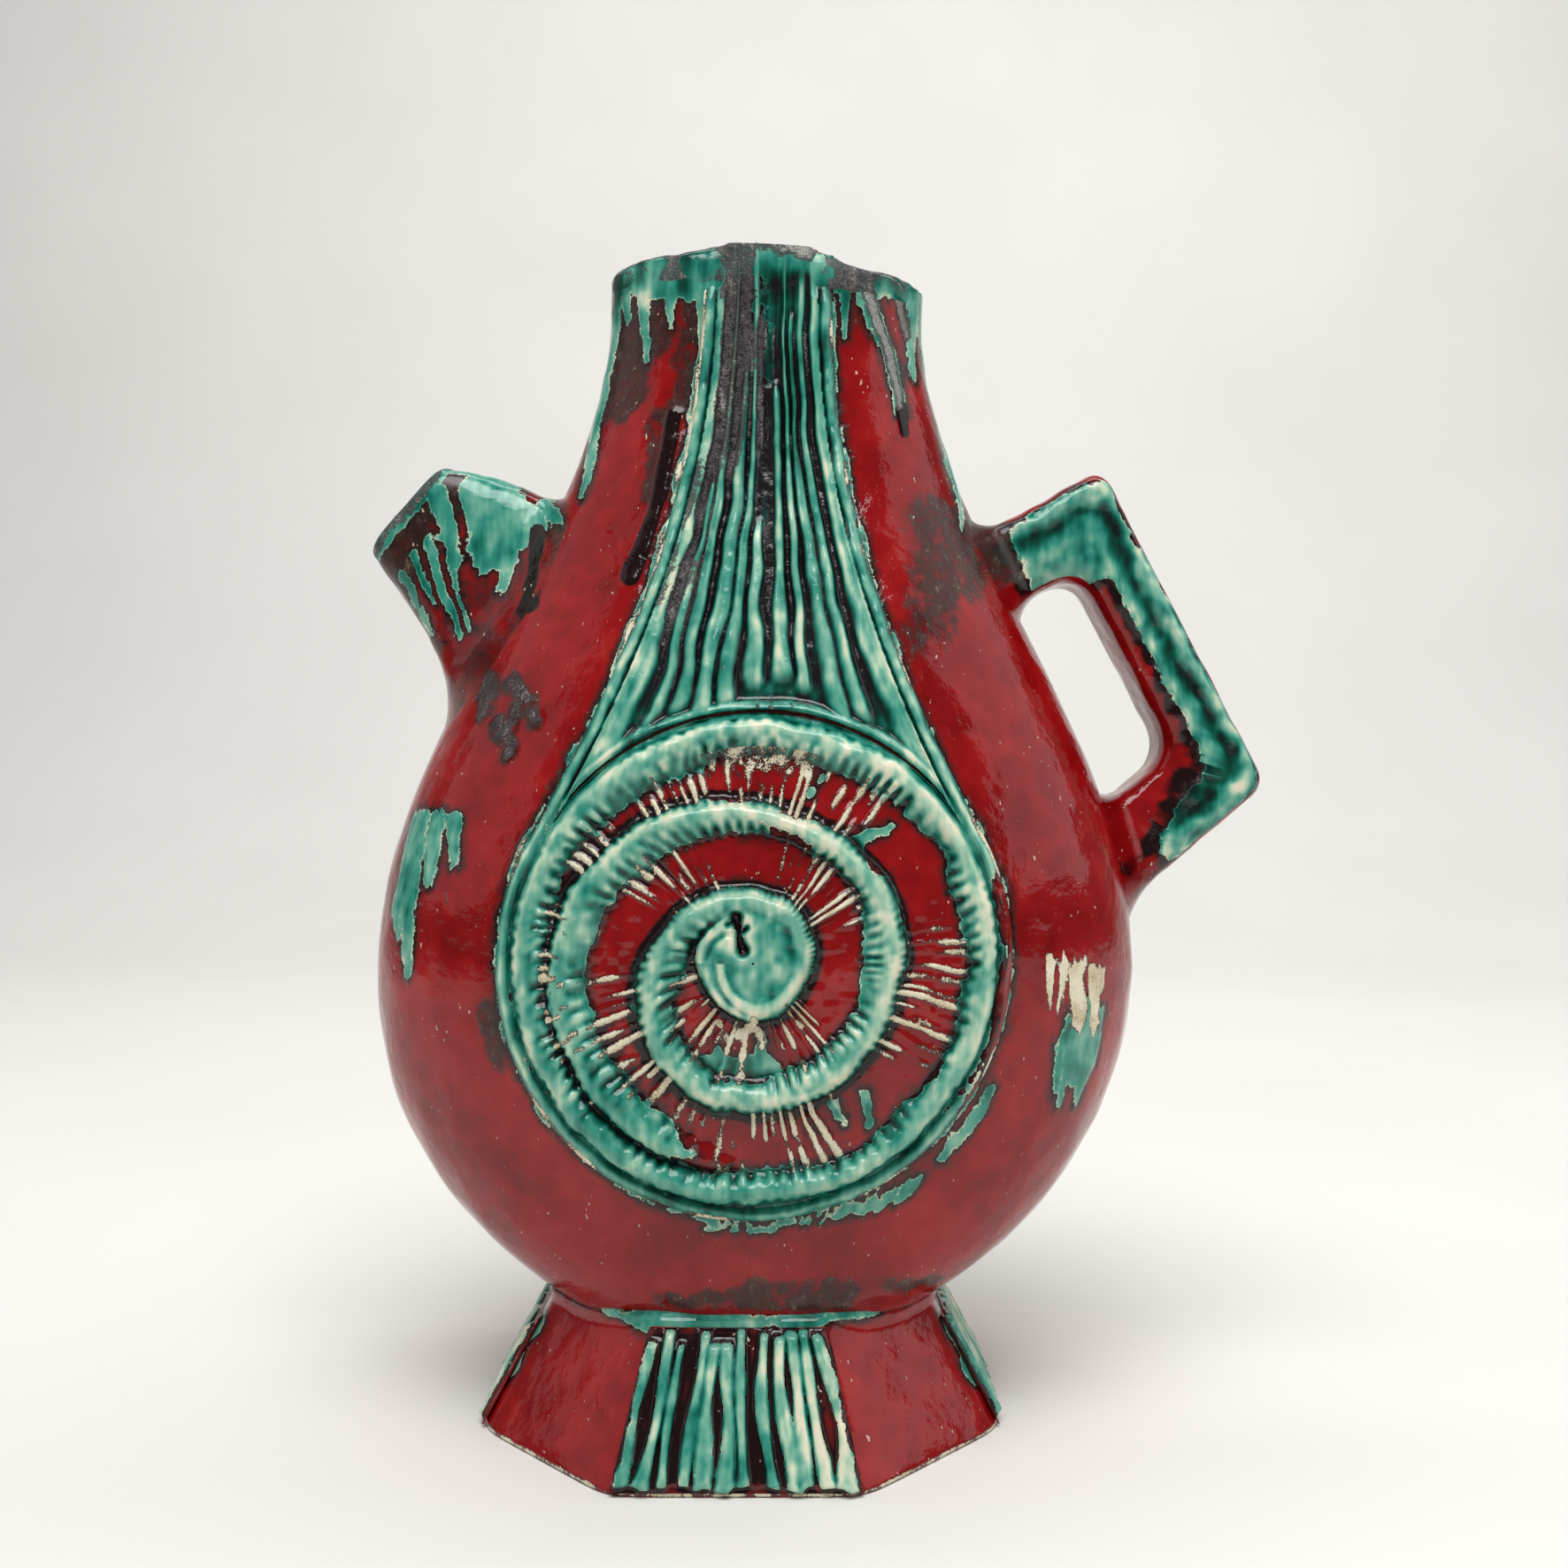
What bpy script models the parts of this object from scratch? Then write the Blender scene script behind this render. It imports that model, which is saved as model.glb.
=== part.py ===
"""A fat lava vase: a flask pressed in two halves, on an eight-sided foot, with a side spout,
an angular handle and laid-on relief of a spiral, a combed fan and combed foot panels.

Metres, +Z up. The front looks towards -Y. The origin is the middle of the face it stands on.
The flask stands a little out of plumb on its foot, so its middle line moves to +X with height.
"""
import math

import bmesh
import bpy
from mathutils import Matrix, Vector

# Clearances between luted pieces, and between the relief and the flask
seat_gap = 0.0003
relief_gap = 0.00035

# Flask: half sizes at the belly and the mouth, and how far below the belly its bowl would close
belly_z = 0.120
belly_half_width = 0.1045
belly_half_depth = 0.062
bowl_drop_side = 0.1003
bowl_drop_front = 0.134
flask_bottom_z = 0.029
flask_top_z = 0.3065
mouth_half_width = 0.0427
mouth_half_depth = 0.025
section_power = 2.3
wall = 0.006

# How the flask stands: its middle line's offset and lean, and the mouth's tilt above the neck
flask_offset = 0.001
lean = 0.0185
neck_z = 0.262
mouth_tilt = 0.045

# Flask facets: columns in half a turn, rows below and above the belly
flask_columns = 22
bowl_rows = 8
shoulder_rows = 9

# Lip coil on the mouth
lip_half_width = 0.0038
lip_height = 0.0055
lip_wave = 0.0014
lip_waves = 5

# Foot: half sizes across its faces, and each face's half length as a share of them
foot_height = 0.036
foot_bottom_half = 0.0692
foot_top_half = 0.0497
foot_front_share = 0.449
foot_side_share = 0.414
foot_wall = 0.008
foot_edge_round = 0.0015
base_thickness = 0.007

# Spout, in the plane of the side seam
spout_mouth_x = -0.0932
spout_mouth_z = 0.246
spout_rise = math.radians(42)
spout_mouth_height = 0.031
spout_mouth_half_depth = 0.015
spout_root_top_x = -0.049
spout_root_top_z = 0.246
spout_root_low_x = -0.080
spout_root_low_z = 0.200
spout_root_half_depth = 0.018
spout_crown = 0.003
spout_corner = 0.006
spout_bore = 0.018
spout_bore_length = 0.062

# Handle, in the plane of the side seam: its two outer corners, and the slope of its arms
handle_top_corner_x = 0.0995
handle_top_corner_z = 0.258
handle_low_corner_x = 0.1455
handle_low_corner_z = 0.1695
handle_top_slope = math.radians(28.5)
handle_low_slope = math.radians(40.3)
handle_top_width = 0.023
handle_grip_width = 0.020
handle_low_width = 0.025
handle_depth = 0.026
handle_edge_round = 0.006

# Relief: its middle line beside the flask's, and the spiral's centre
relief_offset = 0.0006
spiral_z = 0.127

# Ring and spiral coils
ring_radius = 0.056
coil_width = 0.008
coil_height = 0.0042
spiral_turns = 2.25
spiral_first_step = 0.0145
spiral_second_step = 0.0225
spiral_start_width = 0.003
spiral_tip_width = 0.005
spiral_tip_curl = 0.004

# Disc with scored ribs
disc_thickness = 0.0008
disc_rib_height = 0.0008
disc_ribs = 28
disc_rows = 5

# Border strip and fan
border_width = 0.0036
border_height = 0.0024
border_clearance = 0.0004
fan_top_z = 0.303
fan_top_half_width = 0.017
fan_join_angle = math.radians(29)
fan_ribs = 13
fan_thickness = 0.001
fan_rib_height = 0.0024
fan_rows = 8

# Combed panels on the foot
comb_ribs = 11
comb_thickness = 0.0006
comb_rib_height = 0.0016
comb_low_z = 0.0025
comb_top_z_front = 0.0335
comb_top_z_side = 0.0275
comb_margin = 0.001


def clear_scene():
    """Empty the scene of objects."""
    for item in list(bpy.data.objects):
        bpy.data.objects.remove(item, do_unlink=True)


def new_collection(name):
    """A collection linked to the scene."""
    group = bpy.data.collections.new(name)
    bpy.context.scene.collection.children.link(group)
    return group


def glaze(name, colour, roughness, metallic=0.0):
    """A plain Principled material for one piece."""
    material = bpy.data.materials.new(name)
    material.use_nodes = True
    shader = material.node_tree.nodes["Principled BSDF"]
    shader.inputs["Base Color"].default_value = (*colour, 1.0)
    shader.inputs["Roughness"].default_value = roughness
    shader.inputs["Metallic"].default_value = metallic
    return material


def add_object(name, mesh, material, group):
    """Link a mesh as a named object with its own material."""
    item = bpy.data.objects.new(name, mesh)
    if material is not None:
        item.data.materials.append(material)
    group.objects.link(item)
    return item


def finish_mesh(name, bm):
    """Weld, turn the faces outwards and make the mesh."""
    bmesh.ops.remove_doubles(bm, verts=bm.verts, dist=1e-6)
    bmesh.ops.recalc_face_normals(bm, faces=bm.faces)
    mesh = bpy.data.meshes.new(name)
    bm.to_mesh(mesh)
    bm.free()
    mesh.shade_smooth()
    mesh.set_sharp_from_angle(angle=math.radians(40))
    return mesh


def loft_mesh(name, rings, closed=False):
    """A solid through rings of points, with flat ends, or closed on itself like a tyre."""
    bm = bmesh.new()
    loops = [[bm.verts.new(point) for point in ring] for ring in rings]
    count = len(rings[0])
    steps = len(loops) if closed else len(loops) - 1
    for row in range(steps):
        here = loops[row]
        there = loops[(row + 1) % len(loops)]
        for column in range(count):
            other = (column + 1) % count
            bm.faces.new((here[column], here[other], there[other], there[column]))
    if not closed:
        bm.faces.new(loops[0])
        bm.faces.new(loops[-1])
    return finish_mesh(name, bm)


def sheet_mesh(name, face, back, wrap=False, pole=False):
    """A solid between two grids of points.

    wrap joins the last column to the first. pole says that the first row is one point, so it
    needs no wall.
    """
    bm = bmesh.new()
    face = [[bm.verts.new(point) for point in row] for row in face]
    back = [[bm.verts.new(point) for point in row] for row in back]
    columns = len(face[0])
    span = columns if wrap else columns - 1
    for row in range(len(face) - 1):
        for column in range(span):
            other = (column + 1) % columns
            for grid in (face, back):
                corners = (grid[row][column], grid[row][other],
                           grid[row + 1][other], grid[row + 1][column])
                if len({tuple(corner.co) for corner in corners}) == 4:
                    bm.faces.new(corners)
                else:
                    bm.faces.new((corners[0], corners[2], corners[3]))
        if not wrap:
            for column in (0, -1):
                bm.faces.new((face[row][column], face[row + 1][column],
                              back[row + 1][column], back[row][column]))
    for row in (-1,) if pole else (0, -1):
        for column in range(span):
            other = (column + 1) % columns
            bm.faces.new((face[row][column], face[row][other],
                          back[row][other], back[row][column]))
    return finish_mesh(name, bm)


def cut(item, cutter):
    """Cut an object by a closed cutter."""
    modifier = item.modifiers.new("Cut", "BOOLEAN")
    modifier.operation = "DIFFERENCE"
    modifier.solver = "EXACT"
    modifier.object = cutter


def as_cutter(item):
    """Mark an object as a guide that isn't part of the vase."""
    item.hide_render = True
    item.display_type = "WIRE"
    return item


def spread(start, end, steps):
    """Evenly spaced values from start to end, both included."""
    return [start + (end - start) * step / steps for step in range(steps + 1)]


def smooth_step(value):
    """Ease from 0 to 1, held outside that range."""
    value = min(max(value, 0.0), 1.0)
    return value * value * (3 - 2 * value)


# Flask: an elliptic bowl up to the belly, then an easing curve up to the mouth


def shoulder_share(z):
    """How much of the belly's extra size is left at a height: 1 at the belly, 0 at the mouth."""
    height = min(max((z - belly_z) / (flask_top_z - belly_z), 0.0), 1.0)
    return (1 + math.cos(math.pi * height)) / 2


def half_width(z):
    """Half the flask's width, seen from the front."""
    if z < belly_z:
        return belly_half_width * math.sqrt(1 - ((belly_z - z) / bowl_drop_side) ** 2)
    return mouth_half_width + (belly_half_width - mouth_half_width) * shoulder_share(z)


def half_depth(z):
    """Half the flask's depth, seen from the side."""
    if z < belly_z:
        return belly_half_depth * math.sqrt(1 - ((belly_z - z) / bowl_drop_front) ** 2)
    return mouth_half_depth + (belly_half_depth - mouth_half_depth) * shoulder_share(z)


def middle_x(z):
    """Where the flask's leaning middle line is at a height."""
    return flask_offset + lean * z


def inset_size(size, z, inset):
    """A half size drawn in by a thickness that is measured square to the sloping wall."""
    step = 0.0005
    slope = (size(z + step) - size(z - step)) / (2 * step)
    return size(z) - inset * math.sqrt(1 + slope * slope)


def section_point(angle, z, inset, lift=0.0):
    """A point on the flask's rounded-oval section. Angle 0 is +X, and half a turn later -X."""
    width = inset_size(half_width, z, inset)
    depth = inset_size(half_depth, z, inset)
    cosine = math.cos(angle)
    sine = math.sin(angle)
    power = 2 / section_power
    across = math.copysign(width * abs(cosine) ** power, cosine)
    y = math.copysign(depth * abs(sine) ** power, sine)
    tilt = mouth_tilt * smooth_step((z - neck_z) / (flask_top_z - neck_z))
    return Vector((middle_x(z) + across, y, z + lift - tilt * across))


def flask_heights():
    """The heights of the flask's rings, closer together near the foot where the bowl turns in."""
    bowl = [belly_z - (belly_z - flask_bottom_z) * math.sin(turn)
            for turn in spread(math.pi / 2, 0, bowl_rows)]
    return bowl + spread(belly_z, flask_top_z, shoulder_rows)[1:]


def half_section(side, z, inset):
    """One half of the section, from seam to seam, kept half a gap from the seam's plane."""
    points = []
    for angle in spread(0, math.pi, flask_columns):
        point = section_point(angle, z, inset)
        point.y = -side * max(point.y, seat_gap / 2)
        points.append(point)
    return points


def make_shell(name, side, material, group, bore_cutter):
    """One pressed half of the flask, open at the mouth and into the foot."""
    outside = [half_section(side, z, 0) for z in flask_heights()]
    inside = [half_section(side, z, wall) for z in flask_heights()]
    shell = add_object(name, sheet_mesh(name, outside, inside), material, group)
    cut(shell, bore_cutter)
    return shell


def make_flask_cutter(group):
    """The whole flask as a solid, grown by the gap, which shapes the seats of what is luted on."""
    rings = []
    for z in flask_heights():
        angles = spread(0, 2 * math.pi, 2 * flask_columns)[:-1]
        rings.append([section_point(angle, z, -seat_gap) for angle in angles])
    return as_cutter(add_object("flask_cutter", loft_mesh("flask_cutter", rings), None, group))


def make_lip(group):
    """The wavy coil of clay on the mouth: half an oval in section, flat underneath."""
    rings = []
    for step in range(2 * flask_columns):
        angle = math.pi * step / flask_columns
        wave = lip_wave * math.sin(lip_waves * angle) * math.cos(2 * angle)
        ring = []
        for turn in spread(0, math.pi, 6):
            inset = wall / 2 - lip_half_width * math.cos(turn)
            rise = seat_gap + (lip_height + wave) * math.sin(turn)
            ring.append(section_point(angle, flask_top_z, inset, rise))
        rings.append(ring)
    mesh = loft_mesh("lip_ring", rings, closed=True)
    return add_object("lip_ring", mesh, glaze("lip crust", (0.16, 0.12, 0.10), 0.6), group)


# Foot


def foot_ring(half, z):
    """The foot's eight corners at a height. The front and rear faces are the wider ones."""
    front = half * foot_front_share
    side = half * foot_side_share
    return [Vector((x, y, z)) for x, y in (
        (half, -side), (half, side), (front, half), (-front, half),
        (-half, side), (-half, -side), (-front, -half), (front, -half))]


def foot_block(name, inset, low_z, top_z, group, material=None):
    """An eight-sided tapered block, drawn in from the foot's faces."""
    rings = [foot_ring(foot_half(z) - inset, z) for z in (low_z, top_z)]
    return add_object(name, loft_mesh(name, rings), material, group)


def foot_half(z):
    """Half the foot's width across its faces at a height."""
    return foot_bottom_half + (foot_top_half - foot_bottom_half) * z / foot_height


def make_foot(group, cutters, flask_cutter):
    """The hollow foot, hollowed by a smaller taper and seated to the flask."""
    foot = foot_block("foot_shell", 0, 0, foot_height, group,
                      glaze("foot red glaze", (0.30, 0.012, 0.018), 0.18))
    edges = foot.modifiers.new("Rounded edges", "BEVEL")
    edges.width = foot_edge_round
    edges.segments = 2
    edges.angle_limit = math.radians(40)
    past = foot_height / 4
    hollow = foot_block("foot_hollow", foot_wall, -past, foot_height + past, cutters)
    cut(foot, as_cutter(hollow))
    cut(foot, flask_cutter)
    return foot


def make_base(group):
    """The slab let into the foot, flush with its standing edge."""
    return foot_block("base_slab", foot_wall + seat_gap * 1.2, 0, base_thickness, group,
                      glaze("bare clay", (0.50, 0.34, 0.24), 0.85))


def comb_profile(ribs, thickness, rib_height):
    """Across a combed panel: where its columns lie from -1 to 1, and how high each stands."""
    columns = []
    for rib in range(ribs):
        left = -1 + 2 * rib / ribs
        pitch = 2 / ribs
        columns.append((left, thickness))
        columns.append((left + pitch * 0.28, thickness + rib_height))
        columns.append((left + pitch * 0.72, thickness + rib_height))
    columns.append((1.0, thickness))
    return columns


def make_comb(name, turn, face_share, top_z, group):
    """A combed panel on one face of the foot, as wide as the face."""
    face = []
    back = []
    for z in spread(comb_low_z, top_z, 2):
        reach = foot_half(z) * face_share - comb_margin
        front_row = []
        back_row = []
        for across, height in comb_profile(comb_ribs, comb_thickness, comb_rib_height):
            x = across * reach
            back_row.append((x, -foot_half(z) - relief_gap, z))
            front_row.append((x, -foot_half(z) - relief_gap - height, z))
        face.append(front_row)
        back.append(back_row)
    mesh = sheet_mesh(name, face, back)
    mesh.transform(Matrix.Rotation(turn, 4, "Z"))
    material = glaze(name + " turquoise glaze", (0.10, 0.42, 0.38), 0.2)
    return add_object(name, mesh, material, group)


# Spout


def spout_ring(top, low, half_deep):
    """A rectangle with cut corners, between a top and a low point in the seam's plane."""
    along = (low - top).normalized()
    deep = Vector((0, 1, 0))
    corner = along * spout_corner
    flats = deep * (half_deep - spout_corner)
    side = deep * half_deep
    return [top + flats, top - flats, top + corner - side, low - corner - side,
            low - flats, low + flats, low - corner + side, top + corner + side]


def spout_frame():
    """The mouth's centre and the bore's direction, from the mouth inwards."""
    mouth = Vector((spout_mouth_x, 0, spout_mouth_z))
    inward = Vector((math.cos(spout_rise), 0, -math.sin(spout_rise)))
    return mouth, inward


def make_bore_cutter(group):
    """The round bore through the spout and the flask's wall."""
    mouth, inward = spout_frame()
    past = spout_bore
    middle = mouth + inward * (spout_bore_length - past) / 2
    bpy.ops.mesh.primitive_cylinder_add(vertices=20, radius=spout_bore / 2,
                                        depth=spout_bore_length + past, location=middle)
    cutter = bpy.context.object
    cutter.name = "bore_cutter"
    cutter.data.transform(inward.to_track_quat("Z", "Y").to_matrix().to_4x4())
    for holder in list(cutter.users_collection):
        holder.objects.unlink(cutter)
    group.objects.link(cutter)
    return as_cutter(cutter)


def make_spout(group, bore_cutter, flask_cutter):
    """A squarish spout that widens down into the flask's shoulder."""
    mouth, inward = spout_frame()
    across = Vector((math.sin(spout_rise), 0, math.cos(spout_rise)))
    mouth_top = mouth + across * spout_mouth_height / 2
    mouth_low = mouth - across * spout_mouth_height / 2
    root_top = Vector((spout_root_top_x, 0, spout_root_top_z))
    root_low = Vector((spout_root_low_x, 0, spout_root_low_z))
    sink = Vector((wall * 4, 0, -wall))
    rings = []
    for share in spread(0, 1, 4):
        flare = smooth_step(share)
        top = mouth_top.lerp(root_top, share)
        low = mouth_low.lerp(root_low, share)
        top += across * spout_crown * math.sin(math.pi * share)
        half_deep = spout_mouth_half_depth
        half_deep += (spout_root_half_depth - spout_mouth_half_depth) * flare
        rings.append(spout_ring(top, low, half_deep))
    rings.append(spout_ring(root_top + sink, root_low + sink, spout_root_half_depth))
    material = glaze("spout glaze", (0.26, 0.02, 0.02), 0.25)
    spout = add_object("spout", loft_mesh("spout", rings), material, group)
    cut(spout, bore_cutter)
    cut(spout, flask_cutter)
    return spout


# Handle


def plane_cross(point_a, normal_a, reach_a, point_b, normal_b, reach_b):
    """Where two lines in the XZ plane meet, each a set distance from a point along its normal."""
    a = point_a.dot(normal_a) + reach_a
    b = point_b.dot(normal_b) + reach_b
    det = normal_a.x * normal_b.z - normal_a.z * normal_b.x
    x = (a * normal_b.z - b * normal_a.z) / det
    z = (normal_a.x * b - normal_b.x * a) / det
    return Vector((x, 0, z))


def inward_normal(direction):
    """The normal on the gap's side of a bar that runs round the handle from top to bottom."""
    return Vector((direction.z, 0, -direction.x))


def handle_lines():
    """The handle's outer and inner corners, and the direction of its three bars."""
    top_corner = Vector((handle_top_corner_x, 0, handle_top_corner_z))
    low_corner = Vector((handle_low_corner_x, 0, handle_low_corner_z))
    top_way = Vector((math.cos(handle_top_slope), 0, math.sin(handle_top_slope)))
    grip_way = (low_corner - top_corner).normalized()
    low_way = Vector((-math.cos(handle_low_slope), 0, -math.sin(handle_low_slope)))
    top_inner = plane_cross(top_corner, inward_normal(top_way), handle_top_width,
                            top_corner, inward_normal(grip_way), handle_grip_width)
    low_inner = plane_cross(low_corner, inward_normal(grip_way), handle_grip_width,
                            low_corner, inward_normal(low_way), handle_low_width)
    return top_corner, low_corner, top_inner, low_inner, top_way, grip_way, low_way


def make_bar(name, outline, way, group, colour, flask_cutter=None):
    """A bar of the handle: a flat outline, made thick, with its long edges rounded."""
    curve = bpy.data.curves.new(name, "CURVE")
    curve.dimensions = "2D"
    curve.fill_mode = "BOTH"
    curve.extrude = handle_depth / 2
    line = curve.splines.new("POLY")
    line.points.add(len(outline) - 1)
    for point, corner in zip(line.points, outline):
        point.co = (corner.x, corner.z, 0, 1)
    line.use_cyclic_u = True
    guide = bpy.data.objects.new(name + "_outline", curve)
    guide.matrix_world = Matrix.Rotation(math.pi / 2, 4, "X")
    bpy.context.scene.collection.objects.link(guide)
    bpy.context.view_layer.update()
    evaluated = guide.evaluated_get(bpy.context.evaluated_depsgraph_get())
    mesh = bpy.data.meshes.new_from_object(evaluated)
    mesh.transform(guide.matrix_world)
    bpy.data.objects.remove(guide, do_unlink=True)
    bm = bmesh.new()
    bm.from_mesh(mesh)
    bmesh.ops.remove_doubles(bm, verts=bm.verts, dist=1e-6)
    bmesh.ops.dissolve_limit(bm, angle_limit=0.01, verts=bm.verts, edges=bm.edges)
    bmesh.ops.recalc_face_normals(bm, faces=bm.faces)
    weights = bm.edges.layers.float.new("bevel_weight_edge")
    for edge in bm.edges:
        run = edge.verts[1].co - edge.verts[0].co
        if abs(run.normalized().dot(way)) > 0.99:
            edge[weights] = 1.0
    bm.to_mesh(mesh)
    bm.free()
    mesh.shade_smooth()
    mesh.set_sharp_from_angle(angle=math.radians(40))
    bar = add_object(name, mesh, glaze(name + " glaze", colour, 0.22), group)
    edges = bar.modifiers.new("Rounded edges", "BEVEL")
    edges.limit_method = "WEIGHT"
    edges.width = handle_edge_round
    edges.segments = 3
    if flask_cutter is not None:
        cut(bar, flask_cutter)
    return bar


def make_handle(group, flask_cutter):
    """Three bars, mitred at the two corners, with a gap at each mitre."""
    (top_corner, low_corner, top_inner, low_inner,
     top_way, grip_way, low_way) = handle_lines()
    split = seat_gap * 0.8
    into_top = top_way * (top_corner.x - half_width(top_corner.z) / 2)
    into_low = low_way * (low_corner.x - half_width(low_corner.z) * 0.75)
    make_bar("handle_top_arm",
             [top_corner - into_top, top_corner - top_way * split,
              top_inner - top_way * split, top_inner - into_top],
             top_way, group, (0.28, 0.015, 0.02), flask_cutter)
    make_bar("handle_grip",
             [top_corner + grip_way * split, low_corner - grip_way * split,
              low_inner - grip_way * split, top_inner + grip_way * split],
             grip_way, group, (0.10, 0.36, 0.33))
    make_bar("handle_bottom_arm",
             [low_corner + low_way * split, low_corner + into_low,
              low_inner + into_low, low_inner + low_way * split],
             low_way, group, (0.24, 0.015, 0.02), flask_cutter)


# Relief on the two halves of the flask


def relief_point(side, x, z, lift):
    """A point over the flask's surface, x from the relief's own middle line, lifted square to Y.

    side is 1 on the front. On the rear, -1, the same relief is turned half a turn about Z.
    """
    local = x + relief_offset
    share = (abs(local) / half_width(z)) ** section_power
    depth = half_depth(z) * (1 - share) ** (1 / section_power)
    return Vector((middle_x(z) + side * local, -side * (depth + lift), z))


disc_radius = ring_radius + coil_width / 2
border_radius = disc_radius + border_clearance + border_width
disc_top = relief_gap + disc_thickness + disc_rib_height
fan_join_z = spiral_z + border_radius * math.sin(fan_join_angle)
fan_join_half = border_radius * math.cos(fan_join_angle)
fan_power = ((fan_top_z - fan_join_z) * math.tan(fan_join_angle)
             / (fan_join_half - fan_top_half_width))


def edge_half(z):
    """Half the width of the drop-shaped outline above the point where it leaves the circle."""
    share = (fan_top_z - z) / (fan_top_z - fan_join_z)
    return fan_top_half_width + (fan_join_half - fan_top_half_width) * share ** fan_power


def edge_slope(z):
    """How fast that half width grows downwards."""
    step = 0.0005
    return (edge_half(z - step) - edge_half(min(z + step, fan_top_z))) / (2 * step)


def coil_ring(side, x, z, across, width, height, base):
    """One section of a laid-on coil: flat below, rounded above, standing on the surface."""
    outline = ((-0.5, 0.0), (-0.5, 0.45), (-0.25, 0.92), (0.25, 0.92), (0.5, 0.45), (0.5, 0.0))
    ring = []
    for share, rise in outline:
        ring.append(relief_point(side, x + across[0] * width * share,
                                 z + across[1] * width * share, base + height * rise))
    return ring


def make_disc(name, side, group):
    """The thin disc with scored radial ribs."""
    face = []
    back = []
    columns = disc_ribs * 2
    for radius in spread(0, disc_radius, disc_rows):
        face_row = []
        back_row = []
        for column in range(columns):
            angle = 2 * math.pi * column / columns
            x = radius * math.cos(angle)
            z = spiral_z + radius * math.sin(angle)
            rib = disc_rib_height if column % 2 == 0 and radius > 0 else 0.0
            face_row.append(relief_point(side, x, z, relief_gap + disc_thickness + rib))
            back_row.append(relief_point(side, x, z, relief_gap))
        face.append(face_row)
        back.append(back_row)
    mesh = sheet_mesh(name, face, back, wrap=True, pole=True)
    return add_object(name, mesh, glaze(name + " glaze", (0.30, 0.03, 0.03), 0.2), group)


def make_ring(name, side, group):
    """The closed coil on the disc's rim."""
    rings = []
    for step in range(40):
        angle = 2 * math.pi * step / 40
        out = (math.cos(angle), math.sin(angle))
        rings.append(coil_ring(side, ring_radius * out[0], spiral_z + ring_radius * out[1],
                               out, coil_width - 2 * seat_gap, coil_height,
                               disc_top + seat_gap))
    mesh = loft_mesh(name, rings, closed=True)
    return add_object(name, mesh, glaze(name + " glaze", (0.12, 0.44, 0.38), 0.2), group)


def spiral_size(turn):
    """The coil's radius and width after a number of turns.

    It starts thin against the ring's inner side. In the first half of each turn it draws in by
    a step, and in the second half it keeps its radius. Its tip curls in at the middle.
    """
    width = spiral_start_width
    width += (coil_width - spiral_start_width) * smooth_step(turn / 0.12)
    against_ring = ring_radius - coil_width / 2 - seat_gap - width / 2
    first = against_ring - spiral_first_step * smooth_step((turn - 0.18) / 0.42)
    radius = first - spiral_second_step * smooth_step((turn - 1.0) / 0.55)
    tip = smooth_step((turn - spiral_turns + 0.35) / 0.35)
    width -= (coil_width - spiral_tip_width) * tip
    return radius - spiral_tip_curl * tip, width


def make_spiral(name, side, group):
    """The coil that winds inward on the disc, clockwise as seen, from the bottom."""
    rings = []
    for turn in spread(0, spiral_turns, round(spiral_turns * 22)):
        radius, width = spiral_size(turn)
        angle = -math.pi / 2 - 2 * math.pi * turn
        out = (math.cos(angle), math.sin(angle))
        ends = smooth_step(min(turn, spiral_turns - turn) / 0.05)
        rings.append(coil_ring(side, radius * out[0], spiral_z + radius * out[1], out, width,
                               coil_height * (0.6 + 0.4 * ends), disc_top + seat_gap))
    mesh = loft_mesh(name, rings)
    return add_object(name, mesh, glaze(name + " glaze", (0.12, 0.44, 0.38), 0.2), group)


def make_border(name, side, group):
    """The strip round the disc and up both edges of the fan."""
    half = border_width / 2
    centre_radius = border_radius - half
    path = []
    for z in spread(fan_top_z, fan_join_z, 14)[:-1]:
        slope = edge_slope(z)
        length = math.hypot(1, slope)
        out = (-1 / length, slope / length)
        path.append((-edge_half(z) - out[0] * half, z - out[1] * half, out))
    for angle in spread(math.pi - fan_join_angle, 2 * math.pi + fan_join_angle, 26):
        out = (math.cos(angle), math.sin(angle))
        path.append((centre_radius * out[0], spiral_z + centre_radius * out[1], out))
    path += [(-x, z, (-out[0], out[1])) for x, z, out in reversed(path[:14])]
    rings = [coil_ring(side, x, z, out, border_width, border_height, relief_gap)
             for x, z, out in path]
    mesh = loft_mesh(name, rings)
    return add_object(name, mesh, glaze(name + " glaze", (0.10, 0.38, 0.33), 0.2), group)


def fan_half(z):
    """Half the fan's width, inside the border."""
    return edge_half(z) - (border_width + border_clearance) * math.hypot(1, edge_slope(z))


def fan_foot(across):
    """The height where a rib of the fan meets the arch over the ring."""
    arch = disc_radius + 3 * border_clearance
    low = fan_join_z
    high = fan_top_z
    for _ in range(30):
        middle = (low + high) / 2
        if math.hypot(across * fan_half(middle), middle - spiral_z) > arch:
            high = middle
        else:
            low = middle
    return high


def make_fan(name, side, group):
    """The combed fan: ribs that spread from the neck down to the arch over the ring."""
    columns = comb_profile(fan_ribs, fan_thickness, fan_rib_height)
    face = []
    back = []
    for share in spread(0, 1, fan_rows):
        face_row = []
        back_row = []
        for across, height in columns:
            z = fan_top_z + (fan_foot(across) - fan_top_z) * share
            x = across * fan_half(z)
            face_row.append(relief_point(side, x, z, relief_gap + height))
            back_row.append(relief_point(side, x, z, relief_gap))
        face.append(face_row)
        back.append(back_row)
    mesh = sheet_mesh(name, face, back)
    return add_object(name, mesh, glaze(name + " glaze", (0.12, 0.40, 0.34), 0.25), group)


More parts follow.
